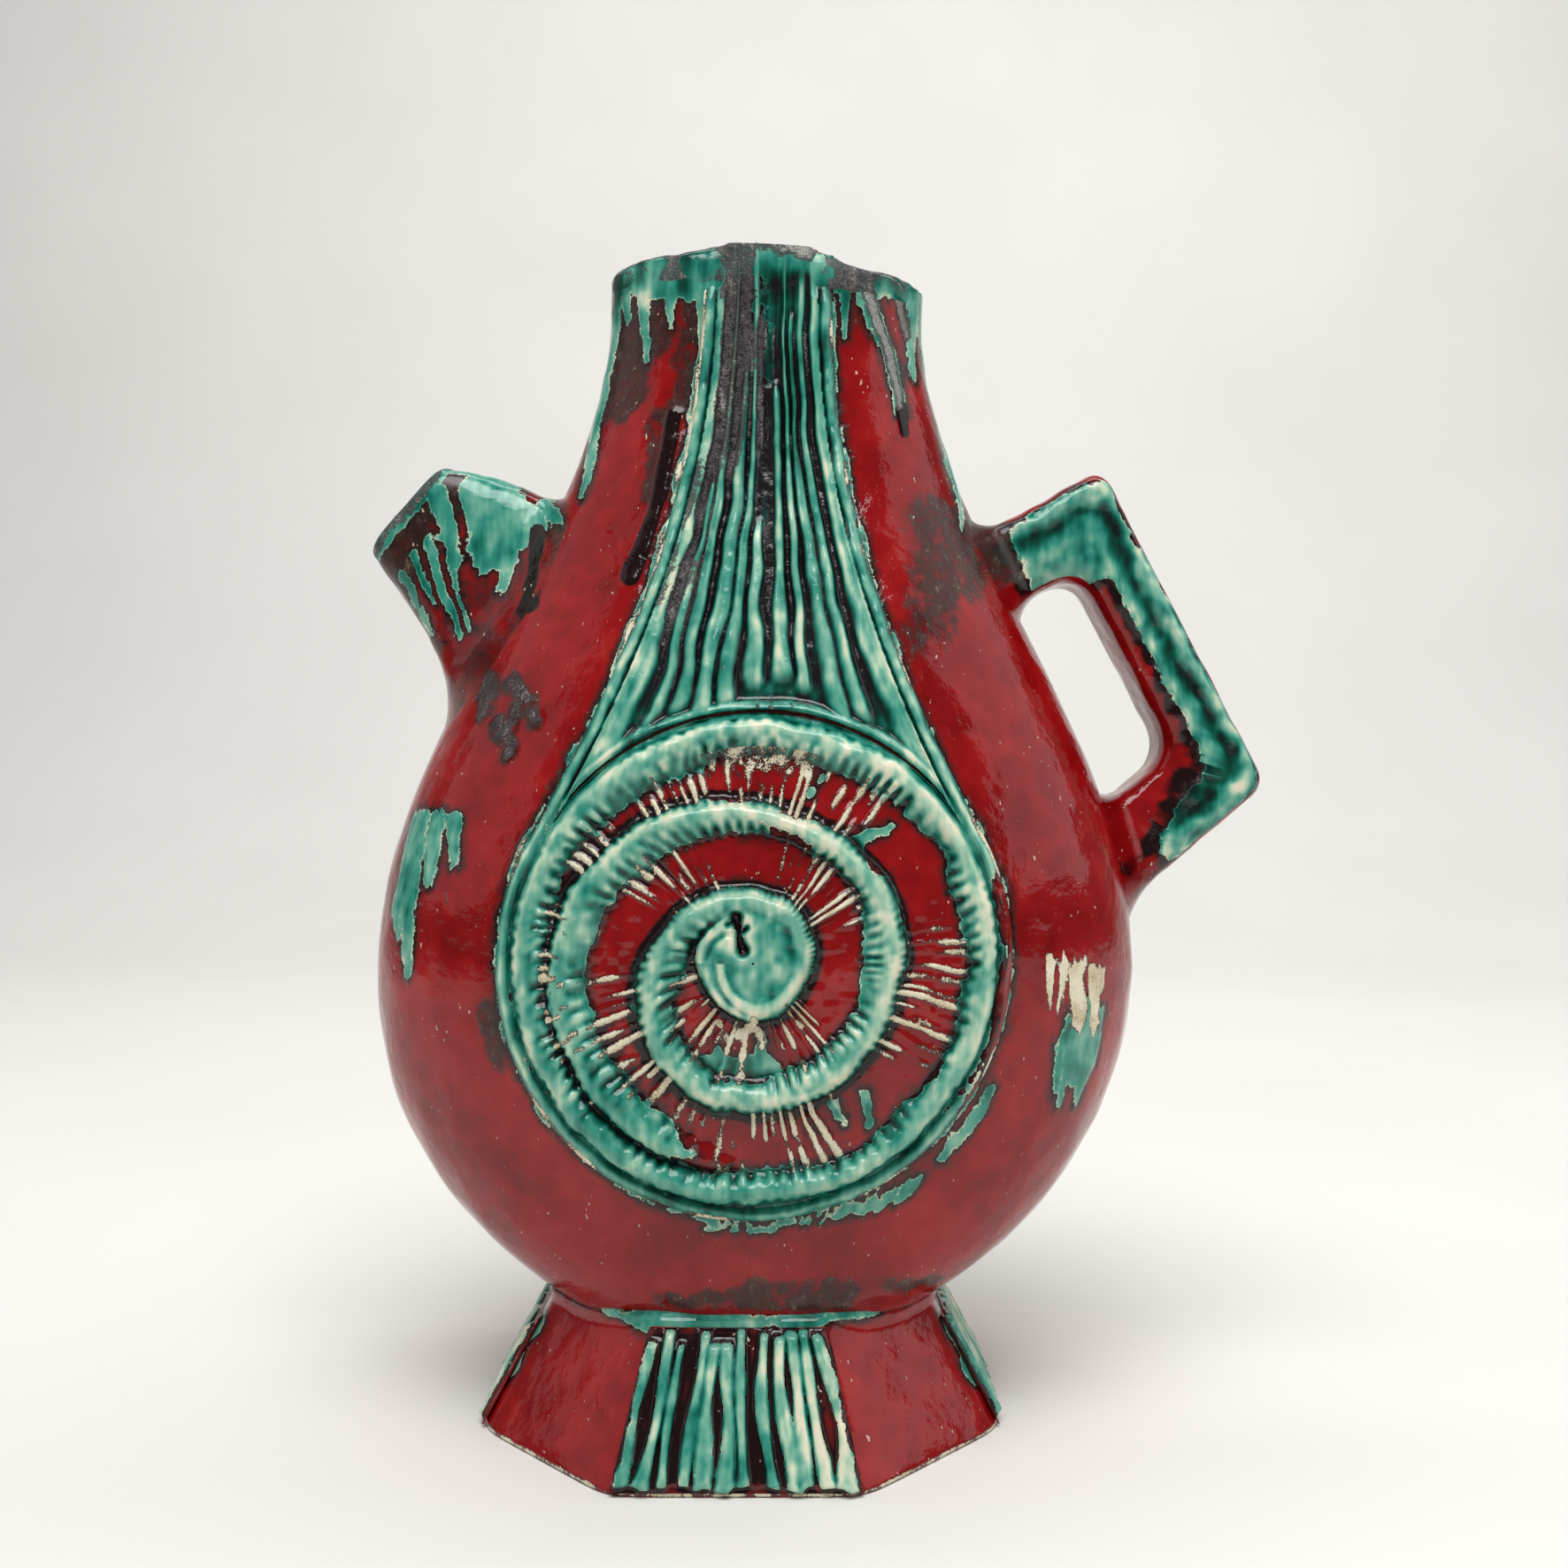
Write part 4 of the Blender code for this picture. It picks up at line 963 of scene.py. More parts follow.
def rounded_line(points, corner_round, counts):
    """A line through corners, each rounded by a square curve from before it to after it. The
    middle of each curve is where two bars meet, so the line comes back as one run for each."""
    points = np.array(points)
    ways = unit(np.diff(points, axis=0))

    def bend(k, t):
        before, after = points[k] - ways[k - 1] * corner_round, points[k] + ways[k] * corner_round
        return (1 - t) ** 2 * before + 2 * t * (1 - t) * points[k] + t ** 2 * after

    half = np.linspace(0, 0.5, 15)[:, None]
    runs = []
    for k, count in enumerate(counts):
        first, last = k == 0, k == len(counts) - 1
        start = points[k] + ways[k] * corner_round * (not first)
        end = points[k + 1] - ways[k] * corner_round * (not last)
        straight = start + (end - start) * np.linspace(0, 1, count)[:, None]
        runs.append(np.concatenate(
            ([] if first else [bend(k, half + 0.5)[:-1]])
            + ([straight] if last else [straight[:-1], bend(k + 1, half)])))
    return runs


def bell(value, middle, half):
    """A bell of height 1 about a middle: a power of e that falls with the distance's square."""
    return np.exp(-((value - middle) / half) ** 2)


def cut_at_flask(grid):
    """A bar's rows shared out again along each of its lines, so that the first row lies a root's
    depth inside the flask: where each line crosses that depth is found between two of its rows."""
    away = flask_side(grid)[0] + root_depth
    line = np.arange(grid.shape[1])
    last = len(grid) - 1 - np.argmax((away < 0)[::-1], 0)
    crossing = last - away[last, line] / (away[last + 1, line] - away[last, line])
    row = crossing + (len(grid) - 1 - crossing) * np.linspace(0, 1, len(grid))[:, None]
    low = np.minimum(row.astype(int), len(grid) - 2)
    part = (row - low)[..., None]
    return grid[low, line] * (1 - part) + grid[low + 1, line] * part


top_way = np.array((math.cos(handle_top_slope), math.sin(handle_top_slope)))
low_way = np.array((-math.cos(handle_low_slope), -math.sin(handle_low_slope)))
counts = (62, 96, 56)
outer_line = rounded_line((handle_top_corner - top_way * handle_top_runs[0], handle_top_corner,
                           handle_low_corner, handle_low_corner + low_way * handle_low_runs[0]),
                          handle_outer_round, counts)
inner_line = rounded_line((handle_top_inner - top_way * handle_top_runs[1], handle_top_inner,
                           handle_low_inner, handle_low_inner + low_way * handle_low_runs[1]),
                          handle_inner_round, counts)
turn = np.linspace(0, 2 * np.pi, 150, endpoint=False)[None, :]
out_share, deep_share = boxed(turn, handle_corner_power)
for run, (piece, node) in enumerate(handle_bars):
    # The rows go along the bar, each a rounded box between the outer and the inner line
    far_side, near_side = outer_line[run], inner_line[run]
    middle = (far_side + near_side) / 2
    half = (far_side - near_side) / 2
    flat = middle[:, None] + half[:, None] * out_share[..., None]
    grid = np.stack([flat[..., 0], handle_depth / 2 * deep_share + 0 * flat[..., 0],
                     flat[..., 1]], -1)
    if run == 0:
        grid = cut_at_flask(grid)
    elif run == 2:
        grid = cut_at_flask(grid[::-1])[::-1]
    out = unit(grid - grid.mean(1, keepdims=True))
    grid = soften_root(grid, out, arm_hollow_reach, arm_hollow_depth)
    place = (1 - out_share) / 2 + 0 * grid[..., 0]
    on_face = ease(np.abs(deep_share), 0.75, 0.97) + 0 * place
    off_flask = flask_side(grid)[0] / mm
    loose = ease(off_flask, 0, 7)
    wander = 0.07 * drift(grid * (1, 0.1, 1), 12 * mm, 80) + 0.05 * drift(
        grid * (1, 0.1, 1), 4 * mm, 88)
    bank = bell(place + wander, *outer_ridge) + 0.8 * bell(place + wander, *inner_ridge)
    pool = bell(place + wander, *dark_pool)
    lumps = 0.35 * drift(grid, 9 * mm, 81) + 0.25 * drift(grid, 4 * mm, 82)
    face_height = on_face * (0.8 * bank - 0.7 * pool + 0.35 * drift(grid, 5 * mm, 83))
    push = lumps + face_height * ease(off_flask, 3, 14) - 0.75
    grid = grid + out * (push * loose * 0.8 * mm)[..., None]
    along = np.arange(len(grid))[:, None] + 0 * turn
    # Millimetres inside the turquoise: from the outer edge, the inner edge and near the flask
    if run == 0:
        band = np.minimum(place - 0.11, 1.04 - place) * 23
        band = np.minimum(band, (off_flask - 7.0) * 0.7)
    elif run == 1:
        past_corner = 0.68 + 0.34 * ease(along, 26, 0)
        band = np.minimum(place - 0.05 - 0.10 * ease(-np.abs(along - 24), -12, -3),
                          past_corner - place) * 21
    else:
        band = np.minimum(place - 0.05, 0.60 - 0.2 * ease(along, 10, 50) - place) * 24
        band = np.minimum(band, (off_flask - 12) * 0.5)
    band = band + 0.9 * drift(grid, 4 * mm, 84) + 0.6 * drift(grid, 1.8 * mm, 85)
    inner_red = ease(place, 0.62, 0.8)
    pooled = pool * on_face * ease(band, 0, 2)
    halo = ease(band, -7.0 if run == 2 else -4.2, -0.6) * (band < 0) * on_face
    mottled = 0.26 * drift(grid, 3.2 * mm, 89) + 0.12 * drift(grid, 1.6 * mm, 94)
    bar = closed_piece(piece, grid, {
        "cover": np.where(on_face > 0.35, band, -3.0 + 1.4 * drift(grid, 6 * mm, 86)),
        "crest": (np.minimum(0.5 * face_height + 0.25 * lumps, 0.3) - 0.26 * pooled
                  - 0.06 + mottled - 0.75 * halo),
        "smoke_and_shade": np.clip(ease(off_flask, 13, 5) * 0.95 * (1 - inner_red) * (run == 0)
                         + 0.5 * ease(band, -3.5, -0.5) * (1 - inner_red)
                         + 0.35 * drift(grid, 9 * mm, 87) * loose, 0, 1),
    }, glaze(piece.replace("_", " ") + " glaze"))
    join_shading(bar, turn.shape[1])
    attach(bar, "root")
    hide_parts(node)


# Relief of each half: a thin disc scored with ribs, a ring on its rim, a coil wound inwards on it,
# a strip round the outline and a combed fan up to the lip. All are clay laid on and luted down.
spiral_turns = 2.25
coil_start_width = 0.003
coil_steps_in = (0.0145, 0.0225)
coil_step_out = 0.0022         # near its end
coil_tip_in = 0.003
coil_tip_thinner = 0.002
dome_radius = 0.0136           # the closed middle of the coil
disc_reach = 0.0528            # under the ring, which starts a little further in
ring_start = 0.0505
border_gap_radius = 0.0606     # the groove between ring and strip
fan_rib_count = 11
disc_base = 1.05               # heights over the flask in mm, and how much a crest adds to each
rib_rise = 1.1
coil_base = 1.2
ring_rise = 4.3
coil_rise = 4.2
strip_base = 1.1
strip_rise = 1.2
fan_base = 0.7
fan_rise = 2.2
arch_base = 0.9
arch_rise = 1.7
relief_underside = -0.6
coil_underside = 0.2
sunk_edge = -0.8
relief_seeds = {1: 100, -1: 300}
rib_counts = (100, 70, 40)     # a round: outside the coil's first pass, its second, and inside
rib_zones = (                  # degrees anticlockwise from the right, and how strong the ribs are
    ((-38, -28, -12, 2, 8, 20, 48, 58, 72, 78, 94, 100, 122, 132, 142, 160, 170, 200, 210, 236,
      250, 262, 296, 306),
     (0.1, 0.9, 0.9, 0.95, 0.6, 0.1, 0.2, 0.95, 0.9, 0.5, 0.5, 0.95, 0.95, 0.45, 0.9, 0.5, 1.0,
      1.0, 0.95, 1.0, 0.45, 0.95, 0.95, 0.1)),
    ((-75, -65, -42, -35, 0, 22, 30, 66, 76, 112, 122, 146, 160, 185, 192, 232, 240, 262, 284),
     (0.3, 0.85, 0.8, 0.2, 0.2, 0.3, 0.95, 0.9, 0.25, 0.3, 0.95, 0.9, 0.2, 0.5, 1.0, 1.0, 0.4,
      0.5, 0.3)),
    ((-115, -60, -40, 0, 60, 160, 195, 240), (0.9, 0.9, 0.2, 0.1, 0.1, 0.4, 0.95, 0.9)))


def on_relief(side, x, z, lift):
    """A point over the flask, lifted square to the relief's plane. The rear is the same relief
    turned half a turn."""
    local = x + relief_offset
    share = np.clip(np.abs(local) / half_width(z), 0, 0.999) ** section_power
    depth = half_depth(z) * (1 - share) ** (1 / section_power)
    return np.stack(np.broadcast_arrays(
        middle_x(z) + side * local, -side * (depth + lift), z), -1)


def spiral_line(turn):
    """The coil's radius and width after a number of turns: it draws in by a step in the first half
    of each turn, and its tip curls in and thins."""
    width = coil_start_width + (coil_width - coil_start_width) * ease(turn, 0, 0.12)
    radius = ring_radius - coil_width / 2 - seat_gap - width / 2
    radius = radius - coil_steps_in[0] * ease(turn, 0.18, 0.60)
    radius = radius - coil_steps_in[1] * ease(turn, 1.0, 1.55)
    radius = radius + coil_step_out * ease(turn, 1.3, 1.5) * ease(turn, 1.8, 1.55)
    tip = ease(turn, spiral_turns - 0.35, spiral_turns)
    return radius - coil_tip_in * tip, width - coil_tip_thinner * tip


def scored(radius, angle, whorl, seed):
    """Height from 0 to 1 of the scored ribs between the coils: bells about even rays, each a
    little off its place, as strong as the zone's table says there, and broken up by drift."""
    chance = np.random.default_rng(seed)
    count = np.array(rib_counts)[whorl]
    ray = angle / (2 * np.pi) * count
    number = np.floor(ray).astype(int) % count
    offset, thin, luck = (chance.uniform(low, high, (max(rib_counts), 3))[number, whorl]
                          for low, high in ((-0.24, 0.24), (0.20, 0.38), (0.35, 1.35)))
    middle = np.degrees((number + 0.5) / count * 2 * np.pi)
    zone = np.zeros(radius.shape)
    for which, (places, strength) in enumerate(rib_zones):
        zone = np.where(whorl == which, np.interp(middle, places, strength, period=360), zone)
    broken = 0.75 + 0.85 * drift(np.stack([ray * 0.9, radius / (5 * mm)], -1), 1.0, seed + 1)
    side_way = ray - np.floor(ray) - 0.5 - offset
    strong = np.clip(zone * luck * broken * 1.15, 0, 1) * (zone > 0.3)
    return np.exp(-np.abs(side_way / thin) ** 2.4) * strong


def coil_shape(across, width, flank):
    """Height from 0 to 1 over a coil, across in metres outwards from its middle line: steep on the
    outer side, and easing down over its flank inwards."""
    return ease(across / width, 0.60, 0.14) * ease(across / flank, -1.1, 0.05) ** 0.85


def whorls(radius, angle):
    """The coil's nearest pass at a point: how far out from its middle line, its width and turn,
    and how many passes lie further out."""
    first = np.mod((-np.pi / 2 - angle) / (2 * np.pi), 1)
    best = [np.full(radius.shape, value) for value in (9.0, 0.03, coil_width, 0.0)]
    passed = np.zeros(radius.shape, int)
    for lap in range(3):
        turn = first + lap
        line, width = spiral_line(np.clip(turn, 0, spiral_turns))
        gap = np.abs(radius - line + 0.2 * width)
        gap = np.where(turn <= spiral_turns, gap, 9.0)
        passed += (radius < line) & (turn <= spiral_turns) & (lap < 2)
        closer = gap < best[0]
        best = [np.where(closer, new, old)
                for new, old in zip((gap, radius - line, width, turn), best)]
    return (*best[1:], passed)


ring_flank = ((0, 40, 60, 90, 120, 150, 180, 200, 225, 270, 330),   # degrees, and mm inwards
              (3.9, 4.6, 6.0, 6.5, 6.4, 5.2, 8.0, 8.0, 5.2, 4.4, 4.0))
coil_flank = ((0, 0.1, 0.25, 0.4, 0.5, 0.62, 0.75, 0.9, 1.0, 1.1, 1.25, 1.4, 1.5, 2.25),  # turns
              (3.0, 5.5, 8.5, 7.0, 3.6, 3.4, 5.8, 5.6, 5.0, 5.2, 8.0, 8.5, 6.0, 4.0))
# Marks in the glaze, as strokes with x and z from the spiral's middle
hole = ((-4.3, 10.6, -3.4, 6.5, 1.3, 0.7), (-3.4, 6.5, -2.4, 3.2, 0.7, 1.3),
        (-6.2, 9.2, -4.4, 10.0, 0.2, 0.8), (-1.6, 8.4, -3.4, 6.8, 0.3, 0.7))
curl = ((-12.4, -6.0, -11.8, 1.0, 0.7, 0.6), (-11.8, 1.0, -10.4, 4.8, 0.6, 0.6),
        (-10.4, 4.8, -7.0, 6.9, 0.6, 0.5), (-7.0, 6.9, -4.2, 6.6, 0.5, 0.8))
spills = ((-13.0, -25.0, 4.0, -25.5, 2.4, 3.0), (2.2, -17.5, 2.6, -25.0, 1.0, 2.2),
          (-8.0, -21.5, -6.0, -26.0, 1.0, 2.0), (20.0, -34.5, 22.5, -39.0, 1.7, 1.1),
          (28.0, -32.5, 28.8, -39.5, 1.5, 1.1), (23.0, 28.5, 33.0, 32.5, 1.9, 1.1),
          (13.5, 41.0, 17.0, 44.5, 1.0, 0.7))
splash = ((-8.0, -13.6, -5.0, -19.5, 1.5, 1.3), (-5.0, -19.5, 0.0, -15.0, 1.3, 1.4),
          (0.5, -14.0, 2.6, -20.5, 1.1, 1.3), (8.6, -10.4, 11.6, -15.6, 1.0, 1.1))


def fan_half(z):
    """Half the fan's width, inside the strip."""
    return drawn_in(edge_half, z, border_width + border_clearance)


def relief_height(x, z, seed):
    """Millimetres of relief over the flask at each point, millimetres inside the turquoise, the
    crust and the cream, and how deep the dark pools of the fan are."""
    flat = np.stack([x, z], -1)

    def chance(size, number):
        return drift(flat, size * mm, seed + number)

    crumb, slow, swell = chance(2.0, 2), chance(9, 3), chance(10, 11)
    true_radius = np.hypot(x, z - spiral_z)
    wobble = (0.9 * chance(12, 6) + 0.45 * chance(4.5, 7)) * mm
    radius = true_radius + wobble * ease(true_radius, 4 * mm, 9 * mm)
    angle = np.arctan2(z - spiral_z, x)
    bent = angle + 0.022 * chance(13, 0) + 0.006 * chance(5, 8)

    # The disc: scored ribs and fine flutes, under the ring and the coil with their flanks
    coil_out, width, turn, passed = whorls(radius, angle)
    whorl = np.clip(passed, 0, 2)
    rib = scored(radius, bent, whorl, seed + 1) * ease(radius, dome_radius, dome_radius + 1.2 * mm)
    jag = 0.7 * crumb + 0.8 * slow
    flute = np.sin(bent * np.array(rib_counts)[whorl] + 4.5 * chance(10, 15))
    flute = flute * np.clip(0.55 + 0.9 * chance(8, 16), 0, 1)
    ring_out = radius - (ring_radius + 0.3 * mm)
    ring_reach = np.interp(np.degrees(bent), *ring_flank, period=360) + 0.7 * slow
    ring_reach = ring_reach + 0.35 * flute
    coil_reach = np.interp(turn, *coil_flank) + 0.9 * slow + 0.35 * flute
    ring = coil_shape(ring_out, coil_width, ring_reach * mm)
    coil = coil_shape(coil_out, width, coil_reach * mm) * ease(turn, -0.02, 0.10)
    middle = ease(radius, dome_radius + 0.8 * mm, dome_radius - 1.2 * mm)
    coil = np.maximum(coil, middle * (0.84 + 0.08 * slow))
    hollow = strokes(x + wobble * 0.4, z - spiral_z, hole)
    curled = strokes(x + wobble * 0.4, z - spiral_z, curl)
    coil = coil * (1 - 0.8 * ease(hollow, -1.4, 1.0)) * (1 - 0.16 * ease(curled, -0.8, 0.5))
    on_disc = ease(true_radius, disc_radius + 1.2 * mm, disc_radius - 0.6 * mm)
    field = disc_base + 0.3 * slow + rib_rise * rib + 0.08 * crumb
    band = np.maximum(ring * ring_rise, coil * coil_rise)
    on_flank = ease(band, 0.2, 1.2) * ease(band, 4.2, 3.0) * ease(radius, 12 * mm, 15 * mm)
    banked = coil_base + band + 0.18 * crumb + (0.8 * rib + 0.32 * flute) * on_flank
    height = np.maximum(field, banked) * on_disc

    # Turquoise on the ring and the coil, which runs out along the ribs
    tips = 2.2 * rib * (rib > 0.2)
    fringe = 0.6 * crumb + 0.5 * chance(3.3, 13)
    ring_cover = np.minimum(4.7 - ring_out / mm, ring_out / mm + ring_reach + jag + tips)
    coil_cover = np.minimum(width / mm / 2 + 0.4 - coil_out / mm + fringe,
                            coil_out / mm + coil_reach * 0.92 + jag + tips)
    flake = chance(6, 9)
    coil_cover = coil_cover - 1.9 * ease(flake, 0.25, 0.7) * ease(turn, 0.35, 0.5) * ease(
        turn, 0.8, 0.65)
    coil_cover = coil_cover - 8 * (1 - ease(turn + 0.02 * slow, 0.0, 0.09))
    coil_cover = np.maximum(coil_cover, (dome_radius - radius) / mm + 0.5 * crumb)
    coil_cover = np.where(hollow > -1.0, np.minimum(coil_cover, 0.1 - hollow), coil_cover)
    disc_cover = np.maximum(ring_cover, coil_cover)
    disc_cover = np.maximum(disc_cover, 0.8 * crumb + strokes(x + wobble, z - spiral_z, spills))

    # The strip round the outline
    inside = inside_relief(x, z)
    strip = border_width / mm / 2
    from_strip = inside - strip + 0.5 * chance(8, 10)
    strip_body = ease(np.abs(from_strip), strip + 0.5 + 0.4 * swell, 0.1)
    strip_height = strip_base + 0.5 * swell + (strip_rise + 0.25 * crumb) * strip_body
    strip_cover = strip + 0.7 + 0.8 * crumb + 1.1 * swell - np.abs(from_strip)
    strip_cover -= 3.2 * ease(np.cos(angle + 0.09), 0.84, 0.95) * (true_radius > disc_radius)

    # The fan: combed from under the lip down to an arch over the ring
    in_fan = (z > fan_join_z - 20 * mm) & (true_radius > disc_radius + 0.6 * mm) & (
        inside > border_width / mm)
    share = x / np.maximum(fan_half(np.minimum(z, fan_top_z)), 2 * mm)
    arch = spiral_z + np.sqrt(np.clip((disc_radius + mm) ** 2 - x ** 2, 0, None))
    along = np.clip((fan_top_z + 8 * mm - z) / np.maximum(fan_top_z + 8 * mm - arch, mm), 0, 1)
    sway = share + 0.028 * slow + 0.014 * drift(flat * (1, 0.4), 5 * mm, seed + 12)
    streak = drift(np.stack([sway * 20, along * 5], -1), 1.0, seed + 14)
    comb = combed(sway, along, fan_rib_count, 400 + seed, late=0.65) * (1 + 0.13 * streak)
    beside = np.abs(share + 0.05 * slow)
    side_band = ease(beside, 0.80, 0.90)
    comb = np.maximum(comb * ease(beside, 0.79, 0.70), 0.72 * side_band)
    pool = in_fan * (1 - ease(comb, 0.15, 0.8)) * (1 - 0.5 * ease(along, 0.85, 1.0))
    pool = pool - 0.35 * side_band * in_fan
    arch_out = (true_radius - border_radius) / mm + 1.6 + 0.5 * swell
    arch_body = ease(np.abs(arch_out), 2.6, 0.2)
    arch_height = arch_base + arch_rise * arch_body
    fan_height = np.maximum(fan_base + fan_rise * comb * (0.75 + 0.25 * ease(along, 0, 0.4)),
                            arch_height) + 0.05 * crumb + 0.12 * streak
    crust_side = np.maximum(ease(x / mm, 4, -4) * ease(z, 0.234, 0.262),
                            ease(share, -0.45, -0.75) * ease(z, 0.195, 0.225))
    crust_side = crust_side * (0.85 + 0.5 * slow)
    fan_cover = 1.3 + 1.6 * comb + 0.6 * crumb + 1.5 * arch_body
    fan_cover = fan_cover - 2.6 * crust_side * (1 - 0.7 * comb) - 0.8 * streak * crust_side

    # Whichever lies on top at each point, and the dry cream left on ribs, ring and strip
    by_rim = ease(true_radius, disc_radius - 1.8 * mm, disc_radius - 0.4 * mm)
    rim_height = strip_height * (z <= fan_join_z) + arch_height * (z > fan_join_z)
    height = np.where(in_fan, fan_height, np.maximum(
        height, np.where(true_radius > disc_radius + 0.9 * mm, strip_height, by_rim * rim_height)))
    on_ring = true_radius < disc_radius + 0.5 * mm
    cover = np.where(in_fan, fan_cover, np.where(on_ring, disc_cover, strip_cover))
    gap_cover = 0.9 + 1.1 * swell + 0.6 * crumb - np.abs(true_radius - disc_radius) / mm
    cover = np.maximum(cover, gap_cover)
    crust = -1.4 + 2.6 * crust_side - 1.7 * comb + 0.7 * slow + 1.5 * streak
    crust = np.where(in_fan, np.minimum(crust, 0.4), -9.0)
    dry_top = ease(true_radius, 0.043, 0.047) * ease(angle, 1.15, 1.35) * ease(angle, 1.95, 1.7)
    on_left = ease(np.abs(np.degrees(np.mod(bent, 2 * np.pi)) - 192), 40, 24) * ease(
        radius, 43 * mm, 46 * mm)
    cream = 2.0 * rib - 1.0 - (0.9 - 0.6 * on_left) * ease(cover, -0.2, 1.6)
    cream = cream - 2.5 * (1 - 0.8 * on_left) * ease(band, 1.6, 3.2)
    cream = np.maximum(cream, dry_top * (0.9 + 0.6 * crumb) - 1.0)
    cream = np.maximum(cream, 1.2 * crumb - 0.55 + strokes(x + wobble, z - spiral_z, splash))
    cream = np.where(true_radius < disc_reach - 0.3 * mm, cream, -9.0)
    outer_edge = (from_strip < -0.9) & (true_radius > disc_radius - 1 * mm)
    cream = np.where(outer_edge, 1.3 * swell - 0.4 - 0.6 * np.abs(from_strip + 1.7), cream)
    return height, cover, crust, cream, pool


# Ridges and grooves of each side's whole relief, found on a raster
raster_step = 0.45 * mm
raster_x = np.arange(-0.068, 0.068, raster_step)
raster_z = np.arange(0.058, 0.318, raster_step)
lattice_z, lattice_x = np.meshgrid(raster_z, raster_x, indexing="ij")
crest_maps = {}
for side, seed in relief_seeds.items():
    whole = relief_height(lattice_x, lattice_z, seed)[0]
    bumps = np.clip(0.6 * ridge(whole, 2) + 0.75 * ridge(whole, 5), -1.1, None)
    crest_maps[side] = np.where(bumps > 0, 0.40 * np.tanh(bumps / 0.5), bumps)


def crest_at(side, x, z):
    """Ridge or groove height read from the relief's raster, blended between its four nearest."""
    column = np.clip((x - raster_x[0]) / raster_step, 0, len(raster_x) - 1.001)
    line = np.clip((z - raster_z[0]) / raster_step, 0, len(raster_z) - 1.001)
    c, r = column.astype(int), line.astype(int)
    u, v = column - c, line - r
    grid = crest_maps[side]
    return ((1 - u) * (1 - v) * grid[r, c] + u * (1 - v) * grid[r, c + 1]
            + (1 - u) * v * grid[r + 1, c] + u * v * grid[r + 1, c + 1])


def relief_piece(name, side, x, z, under, sink, ring=False):
    """A piece of the relief from the places of its upper side's points. Each row's loop goes back
    through every tenth point on the underside, which lies under millimetres over the flask, and
    the points marked sink lie inside the flask."""
    height, cover, crust, cream, pool = relief_height(x, z, relief_seeds[side])
    off_middle = np.abs(x) / fan_half(fan_top_z)
    # Under the lip the strip runs out, and the fan thins to run over it
    if name == "edge_strip":
        height = np.where(z > fan_join_z, height * (1 - ease(z, 0.297, 0.306)) - 0.3, height)
    elif name == "combed_fan":
        near_lip = ease(z, 0.298, 0.305)
        height = height * (1 - near_lip * ease(off_middle, 0.72, 1.0))
        height = height * (1 - 0.55 * near_lip) + 1.5 * near_lip * ease(off_middle, 1.0, 0.8)
    height = np.where(sink, sunk_edge, height)
    top = on_relief(side, x, z, height * mm)
    back = slice(-2, 0, -10)
    base = on_relief(side, x[:, back], z[:, back], np.full(x[:, back].shape, under * mm))

    # How pale or dark the turquoise is: by its height, and darker in the grooves beside each coil,
    # where glaze pools and shade is painted at the foot of each coil's steep outer side
    radius, angle = np.hypot(x, z - spiral_z), np.arctan2(z - spiral_z, x)
    crest = crest_at(side, x, z)
    in_gap = ease(np.abs(radius - border_gap_radius) / mm, 2.2, 1.0)
    crest = crest + (-0.12 - crest) * in_gap * (0.6 + 0.35 * ease(np.sin(angle), 0.2, 0.6))
    coil_out = whorls(radius, angle)[0] / mm
    # Painted shade, with the pooled glaze: the groove just outside each coil is darkened
    crest = crest - 0.45 * bell(coil_out, 4.9, 0.9) * (radius < 50 * mm)
    crest = crest + 0.04 * ease(radius, 14.5 * mm, 12.5 * mm)
    # Painted light: the turquoise is paler towards the upper right, where the light comes from,
    # and darker towards the lower left
    crest = crest + 0.08 * np.cos(angle - 0.4) * ease(radius, 14 * mm, 20 * mm) * (
        radius < 65 * mm)
    # Painted shade: the lower side of the ring and of the outer whorl is darker
    shaded_low_side = ease(-np.sin(angle), 0.2, 0.9) * (radius < 65 * mm) * (radius > 45 * mm)
    crest = crest * (1 - 0.35 * shaded_low_side) - 0.09 * shaded_low_side
    on_fan = ease(radius, 63 * mm, 68 * mm) * ease(z, fan_join_z, fan_join_z + 6 * mm)
    crest = crest - on_fan * (0.10 + 0.16 * ease(z, 0.215, 0.275))
    crest = crest - pool * (0.30 + 0.16 * ease(z, 0.300, 0.240))

    # The fan's end has the lip's own glaze and crust
    if name == "combed_fan":
        on_lip = ease(z + 0.8 * mm * drift(np.stack([x, z], -1), 4 * mm, 90), 0.3015, 0.3075)
        crest = crest + (lip_shade(top) - crest) * on_lip * 0.8
        cover = np.maximum(cover, -1.5 + 3.5 * on_lip)
        ragged = z + 1.8 * mm * drift(top * (1, 1, 0.15), 2.6 * mm, 91)
        crust = np.maximum(crust - 2.5 * on_lip, -2.3 + 3.2 * ease(ragged, 0.3065, 0.3120)
                           + 1.3 * drift(top, 8 * mm, 62))
        crust = np.maximum(crust, -9 + (9 + lip_crust(top)) * ease(z, 0.294, 0.299))
    place = "front" if side > 0 else "rear"
    return closed_piece(place + "_" + name, np.concatenate([top, base], 1),
                        {"cover": cover, "crest": crest, "crust": crust, "cream": cream},
                        glaze(place + " " + name + " glaze"), ring)


def edges(shape, start=True):
    """Which points of a grid are its first and last columns, to be sunk under the surface."""
    flags = np.zeros(shape, bool)
    flags[:, 0] = start
    flags[:, -1] = True
    return flags


def spread(out, heading):
    """The x and z of points this far out from the spiral's middle in each direction."""
    return out * np.cos(heading), spiral_z + out * np.sin(heading)


